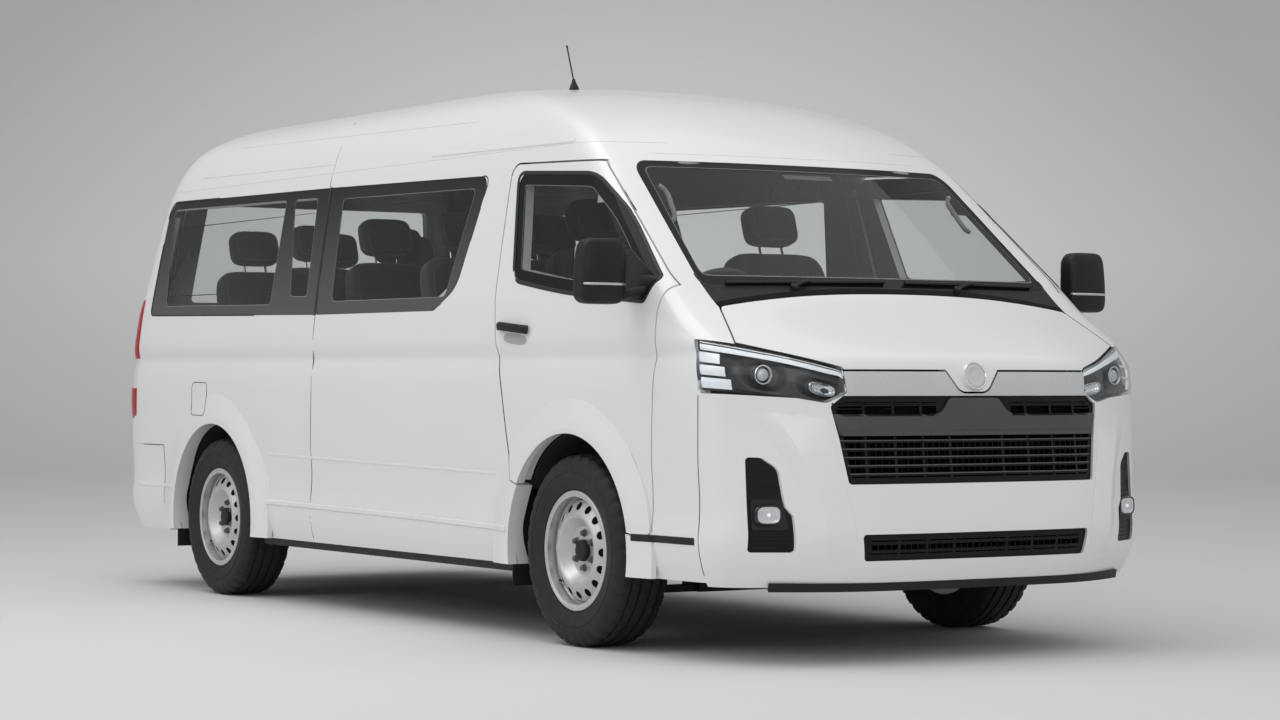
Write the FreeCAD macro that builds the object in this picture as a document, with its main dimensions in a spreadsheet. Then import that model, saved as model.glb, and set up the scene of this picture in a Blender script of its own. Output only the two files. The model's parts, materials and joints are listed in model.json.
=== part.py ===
import FreeCAD, Part
import Sketcher
import math
import os

from FreeCAD import Placement, Rotation, Vector

# A high-roof minibus with a short bonnet, in millimetres.
# X points to the vehicle's left, Y to its tail and Z up.
# The origin lies on the ground, half way along the vehicle and on its centre plane.

# The driving sizes, each one a cell of the sheet
SIZES = {
    "overall_length": 5400, "roof_height": 2200, "half_width": 977,
    "front_overhang": 1200, "wheelbase": 3140,
    "tyre_radius": 354, "tyre_width": 228, "tyre_side": 966, "tread_edge": 22,
    "rim_radius": 221, "bead_radius": 206, "well_radius": 186, "rim_half_width": 97, "rim_wall": 7,
    "rim_hole_radius": 11, "rim_hole_circle": 153, "disc_place": 36, "disc_wall": 8,
    "ring_radius": 124, "ring_height": 20, "hub_radius": 100, "cap_radius": 38, "cap_height": 34,
    "stud_radius": 11, "stud_height": 18, "bore_clearance": 0.05,
    "brake_radius": 140, "brake_width": 45, "brake_gap": 22, "spindle_radius": 22,
    "kingpin_place": 800, "arm_width": 60, "arm_height": 26,
    "wall": 45, "rebate": 11, "glass_set": 2, "glass_thickness": 6,
    "door_gap": 7, "seat_gap": 0.3, "panel_gap": 0.6, "overrun": 300,
    "arch_radius": 425, "flare_radius": 566, "flare_crest": 480, "flare_height": 15, "flare_sink": 1,
    "sill_height": 283, "sill_place": 870,
    "floor_top": 600, "floor_wall": 30, "rail_width": 75, "rail_height": 130, "rail_place": 440,
    "housing_radius": 436, "housing_wall": 5, "housing_inside_front": 510, "housing_inside_rear": 690,
    "hinge_setback": 60, "lid_gap": 7, "cowl_gap": 28, "cowl_rise": 30,
    "pin_radius": 5, "pin_reach": 18, "lug_width": 36, "lug_radius": 7, "lug_reach": 75, "lid_hinge_setback": 16,
    "hinge_radius": 10, "ear_wall": 12, "ear_reach": 60,
    "roof_seam": 1875, "header_seam": 1830, "pillar_width": 90,
    "bumper_top": 950, "fender_split": 2335, "rear_bumper_top": 672, "rear_split": 2215,
    "lamp_depth": 70, "slat_height": 11, "slat_depth": 22,
    "seat_place": 420, "seat_width": 480, "seat_depth": 480, "cushion_height": 110, "back_height": 620, "back_wall": 110,
    "head_width": 250, "head_height": 170, "hip_height": 880,
    "wheel_rim_radius": 190, "wheel_rim_tube": 15,
    "engine_width": 640, "engine_length": 415, "engine_height": 580, "radiator_height": 350,
    "tank_length": 900, "tank_width": 330, "tank_height": 200,
    "axle_radius": 45, "spring_leaf_width": 70, "spring_leaf_height": 32, "spring_length": 1350,
    "mast_radius": 3, "mast_height": 190, "wiper_arm": 14,
    "mirror_width": 190, "mirror_height": 236, "mirror_depth": 110,
    "bolt_radius": 6.5, "bolt_depth": 60, "bolt_rows": 120, "pad_length": 120, "pad_width": 60, "pad_height": 8,
    "flap_wall": 6, "flap_width": 250, "badge_radius": 50, "badge_depth": 20,
}

doc = FreeCAD.newDocument("minibus")
sheet = doc.addObject("Spreadsheet::Sheet", "sizes")
for row_number, (alias, value) in enumerate(SIZES.items(), start=1):
    sheet.set("A%d" % row_number, alias)
    sheet.set("B%d" % row_number, str(value))
    sheet.setAlias("B%d" % row_number, alias)
doc.recompute()


def size(alias):
    return float(sheet.get(alias))


LENGTH = size("overall_length")
HEIGHT = size("roof_height")
HALF_WIDTH = size("half_width")
NOSE = -LENGTH / 2
TAIL = LENGTH / 2
FRONT_AXLE = NOSE + size("front_overhang")
REAR_AXLE = FRONT_AXLE + size("wheelbase")
AXLE_HEIGHT = size("tyre_radius")
WALL = size("wall")
OVERRUN = size("overrun")
DEGREE = 3
FULL = HALF_WIDTH + OVERRUN
GAP = size("door_gap")
PANEL = size("panel_gap")
LID = size("lid_gap")
SEAT = size("seat_gap")

# The body's waterlines from the sill up. Each one has its height as a share of the roof's,
# its half width as a share of the body's, the setback of its nose, the depth of the nose's
# corner, the setback of its tail and the radius of the tail's corner as shares of the length,
# and how square the nose's corner is.
WATERLINE_SHARES = [
    (0.1227, 0.960, 0.0093, 0.0740, 0.0085, 0.028, 0.0),
    (0.1500, 0.982, 0.0030, 0.0740, 0.0020, 0.028, 0.0),
    (0.1950, 1.002, -0.0004, 0.0740, -0.0004, 0.028, 0.0),
    (0.2180, 0.988, -0.0004, 0.0740, -0.0004, 0.028, 0.0),
    (0.2750, 0.989, 0.0016, 0.0740, -0.0002, 0.028, 0.0),
    (0.3050, 1.001, 0.0035, 0.0740, 0.0003, 0.028, 0.0),
    (0.3860, 1.001, 0.0070, 0.0720, 0.0010, 0.028, 0.0),
    (0.4550, 0.999, 0.0108, 0.0630, 0.0022, 0.028, 0.0),
    (0.4780, 0.984, 0.0140, 0.0590, 0.0026, 0.028, 0.0),
    (0.4890, 0.980, 0.0185, 0.0550, 0.0028, 0.028, 0.1),
    (0.5060, 0.992, 0.0300, 0.0440, 0.0032, 0.028, 0.2),
    (0.5370, 0.985, 0.0537, 0.0320, 0.0045, 0.028, 0.5),
    (0.5730, 0.974, 0.0830, 0.0190, 0.0060, 0.028, 0.9),
    (0.6000, 0.966, 0.0972, 0.0157, 0.0072, 0.028, 1.0),
    (0.6820, 0.926, 0.1380, 0.0157, 0.0115, 0.028, 1.0),
    (0.7730, 0.882, 0.1822, 0.0157, 0.0170, 0.028, 1.0),
    (0.8230, 0.855, 0.2065, 0.0160, 0.0205, 0.028, 1.0),
    (0.8550, 0.834, 0.2222, 0.0185, 0.0235, 0.028, 1.0),
    (0.9000, 0.793, 0.2500, 0.0240, 0.0285, 0.030, 0.9),
    (0.9410, 0.732, 0.2926, 0.0333, 0.0370, 0.035, 0.8),
    (0.9727, 0.614, 0.3480, 0.0460, 0.0520, 0.040, 0.6),
    (0.9930, 0.470, 0.4260, 0.0550, 0.0830, 0.030, 0.5),
    (1.0000, 0.300, 0.5000, 0.0500, 0.1300, 0.018, 0.5),
]
# The nose's corner in plan, round and square: shares of the half width and of the corner's depth
ROUND_CORNER_SHARES = [(0.28, 0.0), (0.56, 0.01), (0.88, 0.47), (0.955, 0.60), (0.985, 0.82), (1.0, 1.25)]
SQUARE_CORNER_SHARES = [(0.30, 0.0), (0.60, 0.35), (0.83, 0.85), (0.965, 1.15), (1.0, 1.90), (1.0, 4.0)]
TAIL_CORNER_SHARES = [(0.0, 1.50), (0.0, 0.45), (0.45, 0.0), (1.50, 0.0)]
SIDE_STATION_SHARES = [0.25, 0.50, 0.75]
TAIL_MIDDLE_SHARE = 0.35


def waterline(shares):
    """The poles of one waterline on the right half, from the nose's centre to the tail's."""
    height, width, nose, depth, tail, radius, square = shares
    z = height * HEIGHT
    w = width * HALF_WIDTH
    front = NOSE + nose * LENGTH
    back = TAIL - tail * LENGTH
    corner = depth * LENGTH
    bend = radius * LENGTH
    poles = [Vector(0, front, z)]
    for (round_x, round_y), (square_x, square_y) in zip(ROUND_CORNER_SHARES, SQUARE_CORNER_SHARES):
        across = round_x + (square_x - round_x) * square
        along = round_y + (square_y - round_y) * square
        poles.append(Vector(-across * w, front + along * corner, z))
    start = poles[-1].y
    end = back - TAIL_CORNER_SHARES[0][1] * bend
    for share in SIDE_STATION_SHARES:
        poles.append(Vector(-w, start + share * (end - start), z))
    for across, along in TAIL_CORNER_SHARES:
        poles.append(Vector(-w + across * bend, back - along * bend, z))
    poles.append(Vector(-TAIL_MIDDLE_SHARE * w, back, z))
    poles.append(Vector(0, back, z))
    return poles


def mirrored(point):
    return Vector(-point.x, point.y, point.z)


def inset_net(net, depth):
    """The same net with every pole moved square to the surface, inward by depth."""
    if not depth:
        return net
    moved = []
    for i, line in enumerate(net):
        below = net[max(i - 1, 0)]
        above = net[min(i + 1, len(net) - 1)]
        moved_line = []
        for j, pole in enumerate(line):
            before = line[j - 1] if j else mirrored(line[1])
            after = line[j + 1] if j + 1 < len(line) else mirrored(line[-2])
            normal = (above[j] - below[j]).cross(after - before)
            if i == 0:
                normal.z = 0
            if i + 1 == len(net):
                normal = Vector(0, 0, 1)
            normal.normalize()
            target = pole - normal * depth
            if j in (0, len(line) - 1):
                target.x = 0
            moved_line.append(target)
        moved.append(moved_line)
    return moved


def clamped_knots(count):
    inner = count - DEGREE - 1
    knots = [float(k) for k in range(inner + 2)]
    return knots, [DEGREE + 1] + [1] * inner + [DEGREE + 1]


def spline_edge(points):
    knots, multiplicities = clamped_knots(len(points))
    curve = Part.BSplineCurve()
    curve.buildFromPolesMultsKnots(points, multiplicities, knots, False, DEGREE)
    return curve.toShape()


def spline_face(net):
    row_knots, row_counts = clamped_knots(len(net))
    knots, counts = clamped_knots(len(net[0]))
    surface = Part.BSplineSurface()
    surface.buildFromPolesMultsKnots(net, row_counts, counts, row_knots, knots, False, False, DEGREE, DEGREE)
    return Part.Face(surface)


def body_solid(depth):
    """The right half of the body's closed form, inset by depth from the outer skin."""
    net = inset_net([waterline(shares) for shares in WATERLINE_SHARES], depth)
    faces = [spline_face(net)]
    for line in (net[0], net[-1]):
        faces.append(Part.Face(Part.Wire([spline_edge(line), Part.makeLine(line[-1], line[0])])))
    nose_line = [line[0] for line in net]
    tail_line = [line[-1] for line in net]
    rim = [Part.makeLine(nose_line[0], tail_line[0]), spline_edge(tail_line),
           Part.makeLine(tail_line[-1], nose_line[-1]), spline_edge(nose_line)]
    faces.append(Part.Face(Part.Wire(Part.__sortEdges__(rim))))
    shell = Part.Shell(faces)
    shell.sewShape()
    solid = Part.Solid(shell)
    if solid.Volume < 0:
        solid.reverse()
    return solid


def rounded_wire(points, radii):
    """A closed outline through the points, each corner rounded by its own radius."""
    count = len(points)
    starts = []
    edges = []
    for k, (point, radius) in enumerate(zip(points, radii)):
        to_last = (points[k - 1] - point).normalize()
        to_next = (points[(k + 1) % count] - point).normalize()
        if not radius:
            starts.append((point, point))
            continue
        half = to_last.getAngle(to_next) / 2
        reach = radius / math.tan(half)
        middle = (to_last + to_next).normalize() * (radius / math.sin(half) - radius)
        first = point + to_last * reach
        second = point + to_next * reach
        edges.append((k, Part.Arc(first, point + middle, second).toShape()))
        starts.append((first, second))
    arcs = dict(edges)
    chain = []
    for k in range(count):
        if k in arcs:
            chain.append(arcs[k])
        chain.append(Part.makeLine(starts[k][1], starts[(k + 1) % count][0]))
    return Part.Wire(chain)


def grown(wire, distance):
    return wire.makeOffset2D(distance) if distance else wire


def side_prism(points, radii, distance=0.0, near=0.0):
    """What lies behind an outline on the right side, drawn as places along and up."""
    wire = rounded_wire([Vector(-near, y, z) for y, z in points], radii)
    face = Part.Face(grown(wire, distance))
    return face.extrude(Vector(-HALF_WIDTH - OVERRUN + near, 0, 0))


def end_prism(points, radii, start, end, distance=0.0):
    """What lies behind an outline on the nose or the tail, drawn as places across and up."""
    wire = rounded_wire([Vector(x, start, z) for x, z in points], radii)
    return Part.Face(grown(wire, distance)).extrude(Vector(0, end - start, 0))


def plan_prism(points, radii, bottom, top, distance=0.0):
    wire = rounded_wire([Vector(x, y, bottom) for x, y in points], radii)
    return Part.Face(grown(wire, distance)).extrude(Vector(0, 0, top - bottom))


def box(x0, x1, y0, y1, z0, z1):
    return Part.makeBox(x1 - x0, y1 - y0, z1 - z0, Vector(x0, y0, z0))


def mirror(shape):
    return shape.mirror(Vector(0, 0, 0), Vector(1, 0, 0))


def both(shape):
    return [shape, mirror(shape)]


def whole(half):
    """A piece that crosses the centre plane, from its right half."""
    return half.fuse(mirror(half)).removeSplitter()


TINY_VOLUME = (size("rebate") * 2) ** 3


def solids_of(shape):
    return [solid for solid in shape.Solids if solid.Volume > TINY_VOLUME]


def compound(shapes):
    pieces = []
    for shape in shapes:
        pieces += solids_of(shape)
    return pieces[0] if len(pieces) == 1 else Part.makeCompound(pieces)


def wheel_cylinder(axle, radius, inside, outside):
    return Part.makeCylinder(radius, outside - inside, Vector(-outside, axle, AXLE_HEIGHT), Vector(1, 0, 0))


NODES = []


def add_feature(name, shape):
    """A sub-part whose shape is worked out here from the sheet's sizes."""
    feature = doc.addObject("Part::Feature", name)
    feature.Label = name
    feature.Shape = shape
    feature.Placement = Placement()
    NODES.append(feature)
    return feature


# The forms that all panels are cut from
skin = body_solid(0.0)
rebate_form = body_solid(size("rebate"))
inner_form = body_solid(WALL)
lining_form = body_solid(WALL + size("seat_gap"))
glass_outer = body_solid(size("glass_set"))
glass_inner = body_solid(size("glass_set") + size("glass_thickness"))
glass_sheet = glass_outer.cut(glass_inner)


# How much of its height the arch's ring has lost at its rounded crest
CREST_SHARE = 0.2


def flare(axle):
    """The raised ring round a wheel arch on the right side."""
    side = HALF_WIDTH
    crest = side + size("flare_height")
    foot = side - WALL / 2
    lip = (size("arch_radius") + size("flare_crest")) / 2
    profile = [(size("arch_radius"), foot), (size("arch_radius"), crest), (lip, crest),
               (size("flare_crest"), crest - size("flare_height") * CREST_SHARE),
               (size("flare_radius"), side - size("flare_sink")),
               (size("flare_radius"), foot)]
    points = [Vector(-x, axle, AXLE_HEIGHT + r) for r, x in profile]
    face = Part.Face(Part.makePolygon(points + points[:1]))
    ring = face.revolve(Vector(0, axle, AXLE_HEIGHT), Vector(1, 0, 0), 360)
    keep = box(-FULL, 0, NOSE, TAIL, size("sill_height"), HEIGHT)
    return ring.common(keep)


def arch_space(axle):
    return wheel_cylinder(axle, size("arch_radius"), size("housing_inside_front"), HALF_WIDTH + OVERRUN)


AXLES = (FRONT_AXLE, REAR_AXLE)
outer_form = skin.fuse([flare(axle) for axle in AXLES])
shell = outer_form.cut(inner_form).cut([arch_space(axle) for axle in AXLES])


def along(share):
    return share * LENGTH


def up(share):
    return share * HEIGHT


# The front door's outline, as shares of the length and the height
DOOR_SHARES = [(-0.1563, 0.8255), (-0.2752, 0.8160), (-0.3120, 0.7614), (-0.3860, 0.6190),
               (-0.3810, 0.5573), (-0.3826, 0.4786), (-0.3798, 0.1986), (-0.3620, 0.1986),
               (-0.2900, 0.2200), (-0.2010, 0.2750), (-0.1855, 0.4290), (-0.1746, 0.5068),
               (-0.1670, 0.5859)]
# Where the windscreen pillar ends along the roof, and how far in the side's pieces reach
PILLAR_END_SHARE = -0.2690
SIDE_START_SHARE = 0.78
DOOR_CORNER_SHARES = [0.020, 0.030, 0.12, 0.010, 0.012, 0, 0.006, 0, 0, 0, 0.10, 0.06, 0.10]


def outline(shares, corner_shares):
    points = [(along(y), up(z)) for y, z in shares]
    return points, [HEIGHT * corner for corner in corner_shares]


def door_prism(distance=0.0):
    """The front door's outline right through the side, down to the wheel arch's edge."""
    points, radii = outline(DOOR_SHARES, DOOR_CORNER_SHARES)
    prism = side_prism(points, radii, distance, near=SIDE_START_SHARE * HALF_WIDTH)
    edge = size("arch_radius") + GAP - distance
    arch = wheel_cylinder(FRONT_AXLE, edge, 0, FULL + GAP)
    points, radii = symmetric(SCREEN_SHARES, SCREEN_CORNER_SHARES)
    pillar = end_prism(points, radii, NOSE - OVERRUN, along(PILLAR_END_SHARE) - distance, size("pillar_width") - distance)
    return prism.cut([arch, pillar])


# The door's window and the two side windows behind it
DOOR_GLASS_SHARES = [(-0.1672, 0.8095), (-0.2745, 0.7932), (-0.3150, 0.7340), (-0.3740, 0.6130),
                     (-0.3640, 0.5740), (-0.2620, 0.5940), (-0.1890, 0.6190)]
DOOR_GLASS_CORNER_SHARES = [0.020, 0.030, 0.12, 0.006, 0.006, 0.10, 0.020]
FRONT_GLASS_SHARES = [(0.1365, 0.8227), (-0.1250, 0.8110), (-0.1060, 0.6100), (-0.0760, 0.5705),
                      (0.1205, 0.5714)]
FRONT_GLASS_CORNER_SHARES = [0.004, 0.025, 0.06, 0.025, 0.004]
REAR_GLASS_SHARES = [(0.4560, 0.8314), (0.1385, 0.8227), (0.1225, 0.5714), (0.4520, 0.5832)]
REAR_GLASS_CORNER_SHARES = [0.035, 0.004, 0.004, 0.015]
# The clear panes inside the black borders
PANE_BORDER = size("wall")


def glass_prism(shares, corners, distance=0.0):
    points, radii = outline(shares, corners)
    return side_prism(points, radii, distance, near=SIDE_START_SHARE * HALF_WIDTH)


SIDE_WINDOWS = [(FRONT_GLASS_SHARES, FRONT_GLASS_CORNER_SHARES), (REAR_GLASS_SHARES, REAR_GLASS_CORNER_SHARES)]
DOOR_WINDOW = (DOOR_GLASS_SHARES, DOOR_GLASS_CORNER_SHARES)


def window_cut(window):
    """A window's rebate for the glass and the opening inside it."""
    rebate = glass_prism(*window).cut(rebate_form)
    return [rebate, glass_prism(*window, distance=-PANE_BORDER)]


def window_glass(window):
    return glass_prism(*window, distance=-size("seat_gap")).common(glass_sheet)


# The tailgate's outline and its window's, across and up, as shares of the half width and the height
TAILGATE_SHARES = [(0.800, 0.3080), (0.800, 0.6000), (0.700, 0.9120)]
TAILGATE_CORNER_SHARES = [0.030, 0.20, 0.040]
TAIL_HINGE_SHARES = (0.4726, 0.9227, 0.3600)
LID_HINGE_SHARES = (0.330, 0.5736)
TAIL_GLASS_SHARES = [(0.730, 0.5950), (0.655, 0.8500)]
TAIL_GLASS_CORNER_SHARES = [0.030, 0.030]


def symmetric(shares, corners):
    points = [(x * HALF_WIDTH, up(z)) for x, z in shares]
    radii = [HEIGHT * corner for corner in corners]
    return points + [(-x, z) for x, z in reversed(points)], radii + radii[::-1]


def tail_prism(shares, corners, distance=0.0):
    points, radii = symmetric(shares, corners)
    return end_prism(points, radii, TAIL - 2 * OVERRUN, TAIL + OVERRUN, distance)


def centred_prism(shares, corners, distance=0.0):
    points, radii = symmetric(shares, corners)
    return end_prism(points, radii, NOSE - OVERRUN, NOSE + OVERRUN, distance)


# The bonnet's outline from above, and the windscreen's from the front
BONNET_SHARES = [(0.800, 0.0910), (0.885, 0.0450), (0.700, -0.0100)]
BONNET_CORNER_SHARES = [0.010, 0.015, 0]
BONNET_LIP_SHARE = 0.4640
BONNET_TOP_SHARE = 0.66
# The tongue of the bonnet that hangs in front of the silver bar and carries the boss
TONGUE_SHARES = [(0.060, 0.4290), (0.128, 0.4700)]
TONGUE_CORNER_SHARES = [0.022, 0]
BOSS_PLACE_SHARES = (-0.4913, 0.4541)
BOSS_LEAN_SHARE = 0.27
SCREEN_SHARES = [(0.812, 0.5980), (0.738, 0.8180)]
SCREEN_CORNER_SHARES = [0.020, 0.030]


def bonnet_prism(distance=0.0):
    half = [(x * HALF_WIDTH, NOSE + y * LENGTH) for x, y in BONNET_SHARES]
    radii = [HEIGHT * corner for corner in BONNET_CORNER_SHARES]
    points = half + [(-x, y) for x, y in reversed(half)]
    blank = plan_prism(points, radii + radii[::-1], size("bumper_top") - WALL, up(BONNET_TOP_SHARE), distance)
    lower = box(-HALF_WIDTH, HALF_WIDTH, NOSE - OVERRUN, NOSE + 3 * OVERRUN, 0, up(BONNET_LIP_SHARE) - distance)
    tongue = centred_prism(TONGUE_SHARES, TONGUE_CORNER_SHARES, distance)
    return blank.cut([lower.cut(tongue), lamp_prism(LID - distance)])


def screen_prism(distance=0.0):
    points, radii = symmetric(SCREEN_SHARES, SCREEN_CORNER_SHARES)
    return end_prism(points, radii, NOSE - OVERRUN, NOSE + 5 * OVERRUN, distance)


# The headlamp's outline from the front, and how far back it reaches
LAMP_SHARES = [(1.08, 0.5200), (0.870, 0.5030), (0.552, 0.4645), (0.545, 0.4260), (0.620, 0.4110), (0.720, 0.4190),
               (1.08, 0.4290)]
LAMP_CORNER_SHARES = [0, 0.02, 0.006, 0.006, 0.02, 0.02, 0]
LAMP_BACK_SHARES = [(-0.4228, 0.5180), (-0.4350, 0.4270)]


def lamp_prism(distance=0.0):
    points = [(-x * HALF_WIDTH, up(z)) for x, z in LAMP_SHARES]
    radii = [HEIGHT * corner for corner in LAMP_CORNER_SHARES]
    prism = end_prism(points, radii, NOSE - OVERRUN, NOSE + 2 * OVERRUN, distance)
    (top_y, top_z), (low_y, low_z) = [(along(y) + distance, up(z)) for y, z in LAMP_BACK_SHARES]
    slope = (top_y - low_y) / (top_z - low_z)
    high = top_z + OVERRUN
    low = low_z - OVERRUN
    keep = [(NOSE - OVERRUN, low), (NOSE - OVERRUN, high), (top_y + slope * OVERRUN, high),
            (low_y - slope * OVERRUN, low)]
    return prism.common(side_prism(keep, [0, 0, 0, 0]))


REAR_SPLIT = size("rear_split")
FRONT_SPLIT = -size("fender_split")


def bumper_prism(distance=0.0):
    return box(-FULL, FULL, NOSE - OVERRUN, FRONT_SPLIT + distance, 0, size("bumper_top") + distance)


def rear_bumper_prism(distance=0.0):
    return box(-FULL, FULL, REAR_SPLIT - distance, TAIL + OVERRUN, 0, size("rear_bumper_top") + distance)


# Where the roof's lower edge steps down to the windscreen's header
ROOF_STEP_SHARES = (-0.2700, -0.2780)


def roof_prism(distance=0.0):
    seam = size("roof_seam") - distance
    header = size("header_seam") - distance
    front, step = [along(share) for share in ROOF_STEP_SHARES]
    points = [(TAIL + OVERRUN, seam), (front, seam), (step, header), (NOSE, header), (NOSE, HEIGHT + OVERRUN),
              (TAIL + OVERRUN, HEIGHT + OVERRUN)]
    wire = Part.makePolygon([Vector(-FULL, y, z) for y, z in points + points[:1]])
    return Part.Face(wire).extrude(Vector(2 * FULL, 0, 0))


# The tail lamp stands on the rear corner
TAIL_LAMP_SHARES = [(0.4750, 0.3600), (0.4720, 0.6230)]
TAIL_LAMP_CORNER_SHARES = [0.01, 0.03, 0, 0]
TAIL_LAMP_INSIDE_SHARE = 0.845


def tail_lamp_prism(distance=0.0):
    (low_y, low_z), (top_y, top_z) = [(along(y), up(z)) for y, z in TAIL_LAMP_SHARES]
    points = [(low_y, low_z), (top_y, top_z), (TAIL + OVERRUN, top_z), (TAIL + OVERRUN, low_z)]
    radii = [HEIGHT * corner for corner in TAIL_LAMP_CORNER_SHARES]
    prism = side_prism(points, radii, distance)
    inside = box(-TAIL_LAMP_INSIDE_SHARE * HALF_WIDTH + distance, 0, 0, TAIL + OVERRUN, 0, HEIGHT)
    return prism.cut(inside)


def tailgate():
    piece = shell.common(tail_prism(TAILGATE_SHARES, TAILGATE_CORNER_SHARES))
    rebate = tail_prism(TAIL_GLASS_SHARES, TAIL_GLASS_CORNER_SHARES).cut(rebate_form)
    pane = tail_prism(TAIL_GLASS_SHARES, TAIL_GLASS_CORNER_SHARES, -PANE_BORDER)
    return piece.cut([rebate, pane])


def front_door():
    """A front door: the skin has the whole outline, the inner part is narrower."""
    piece = shell.common(door_prism()).cut(pillar_foot(GAP))
    rim = door_prism(size("rebate")).cut(door_prism(-size("rebate"))).common(rebate_form)
    piece = piece.cut(rim)
    return piece.cut(window_cut(DOOR_WINDOW))


# The windscreen's foot: where the cowl ends and starts, how high the pillar's foot is,
# where the fender meets the side panel and how high the lower body reaches
COWL_END_SHARE = -0.3700
COWL_LOW_SHARE = 0.54
FOOT_TOP_SHARE = 0.63
SIDE_JOINT_SHARE = -0.2640
BELT_SHARE = 0.60


def pillar_foot(distance=0.0):
    """The space above the fender that the door leaves to the cowl."""
    half = BONNET_SHARES[0][0] * HALF_WIDTH
    return box(-half - distance, 0, NOSE, along(COWL_END_SHARE), up(COWL_LOW_SHARE), up(FOOT_TOP_SHARE))


def fender():
    """The right fender with its windscreen pillar."""
    top = size("roof_seam") - PANEL / 2
    region = box(-FULL, 0, NOSE - OVERRUN, along(SIDE_JOINT_SHARE), size("sill_height"), top)
    piece = shell.common(region)
    nose = box(-FULL, 0, NOSE - OVERRUN, FRONT_SPLIT + PANEL, 0, up(BONNET_LIP_SHARE))
    tools = [door_prism(GAP), roof_prism(PANEL / 2), bonnet_prism(LID), screen_prism(PANEL), lamp_prism(PANEL)]
    tools += [nose, box(-FULL, 0, FRONT_AXLE, 0, 0, up(BELT_SHARE)), cowl_box(PANEL)]
    return piece.cut(tools)


def cowl_box(distance=0.0):
    """The strip between the bonnet's rear edge and the windscreen's foot."""
    half = BONNET_SHARES[0][0] * HALF_WIDTH + LID + distance
    start = NOSE + BONNET_SHARES[0][1] * LENGTH - size("hinge_setback")
    top = up(SCREEN_SHARES[0][1]) + size("cowl_rise")
    return box(-half, half, start, along(COWL_END_SHARE), up(COWL_LOW_SHARE), top)


def side_panel():
    """The right side behind the front door, with its window openings."""
    region = box(-FULL, 0, FRONT_AXLE, TAIL + OVERRUN, size("sill_height"), size("roof_seam") - PANEL / 2)
    piece = shell.common(region)
    front = box(-FULL, 0, NOSE, along(SIDE_JOINT_SHARE) + PANEL, up(BELT_SHARE), HEIGHT)
    tools = [door_prism(GAP), front, roof_prism(PANEL / 2), rear_bumper_prism(PANEL), tail_lamp_prism(PANEL),
             tail_prism(TAILGATE_SHARES, TAILGATE_CORNER_SHARES, LID)]
    for window in SIDE_WINDOWS:
        tools += window_cut(window)
    return piece.cut(tools)


# The sliding door on the left: outline as shares of the length and the height
SLIDING_SHARES = [(0.1375, 0.8370), (-0.1440, 0.8370), (-0.1440, 0.1480), (0.1190, 0.1480), (0.1190, 0.5700)]
SLIDING_CORNER_SHARES = [0.008, 0.015, 0.015, 0.015, 0.2]


def sliding_prism(distance=0.0):
    points, radii = outline(SLIDING_SHARES, SLIDING_CORNER_SHARES)
    return side_prism(points, radii, distance, near=SIDE_START_SHARE * HALF_WIDTH)


right_side = side_panel()
add_feature("side_panel_right", compound([right_side]))
add_feature("side_panel_left", compound([mirror(right_side.cut(sliding_prism(PANEL)))]))
add_feature("sliding_door", compound([mirror(right_side.common(sliding_prism()))]))
add_feature("front_fenders", compound(both(fender())))
door = front_door()
add_feature("front_door_right", compound([door]))
add_feature("front_door_left", compound([mirror(door)]))


def tail_opening(distance):
    return tail_prism(TAILGATE_SHARES, TAILGATE_CORNER_SHARES, distance)


def cross_pin(middle, half, place, radius):
    """A round bar along X on the right side, as far as half to either side of its middle."""
    return Part.makeCylinder(radius, 2 * half, Vector(-middle - half, *place), Vector(1, 0, 0))


# The tailgate turns on two outside hinges above its top edge
TAIL_PIN = (along(TAIL_HINGE_SHARES[0]), up(TAIL_HINGE_SHARES[1]))
TAIL_PIN_PLACE = TAIL_HINGE_SHARES[2] * HALF_WIDTH
TAIL_EAR = size("lug_width") / 2
EYE = size("hinge_radius")
# How deep the hinge's arm and its foot lie below the pin, in eye radii
ARM_DROP = 4
FOOT_DROP = 7
tail_bore = cross_pin(TAIL_PIN_PLACE, TAIL_EAR + GAP, TAIL_PIN, size("pin_radius") + size("bore_clearance"))


def hinge_box(x0, x1, y0, y1, z0, z1):
    """A block of the right tailgate hinge, measured from the middle of its pin."""
    y, z = TAIL_PIN
    return box(-TAIL_PIN_PLACE + x0, -TAIL_PIN_PLACE + x1, y + y0, y + y1, z + z0, z + z1)


def roof_ears():
    """The roof's two ears with the pin through them."""
    inner = TAIL_EAR + GAP
    outer = inner + size("ear_wall")
    pieces = [cross_pin(TAIL_PIN_PLACE, outer, TAIL_PIN, size("pin_radius"))]
    for x0, x1 in ((-outer, -inner), (inner, outer)):
        middle = TAIL_PIN_PLACE - (x0 + x1) / 2
        pieces.append(cross_pin(middle, size("ear_wall") / 2, TAIL_PIN, EYE))
        pieces.append(hinge_box(x0, x1, -size("ear_reach"), 0, -EYE, EYE))
    return pieces


def tailgate_ear():
    """The tailgate's eye round the pin, on an arm that stands on the skin below."""
    eye = cross_pin(TAIL_PIN_PLACE, TAIL_EAR, TAIL_PIN, EYE)
    arm = hinge_box(-TAIL_EAR, TAIL_EAR, -EYE, EYE, -ARM_DROP * EYE, 0)
    foot = hinge_box(-TAIL_EAR, TAIL_EAR, -ARM_DROP * EYE, EYE, -FOOT_DROP * EYE, -ARM_DROP * EYE)
    return eye.fuse([arm, foot])


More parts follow.
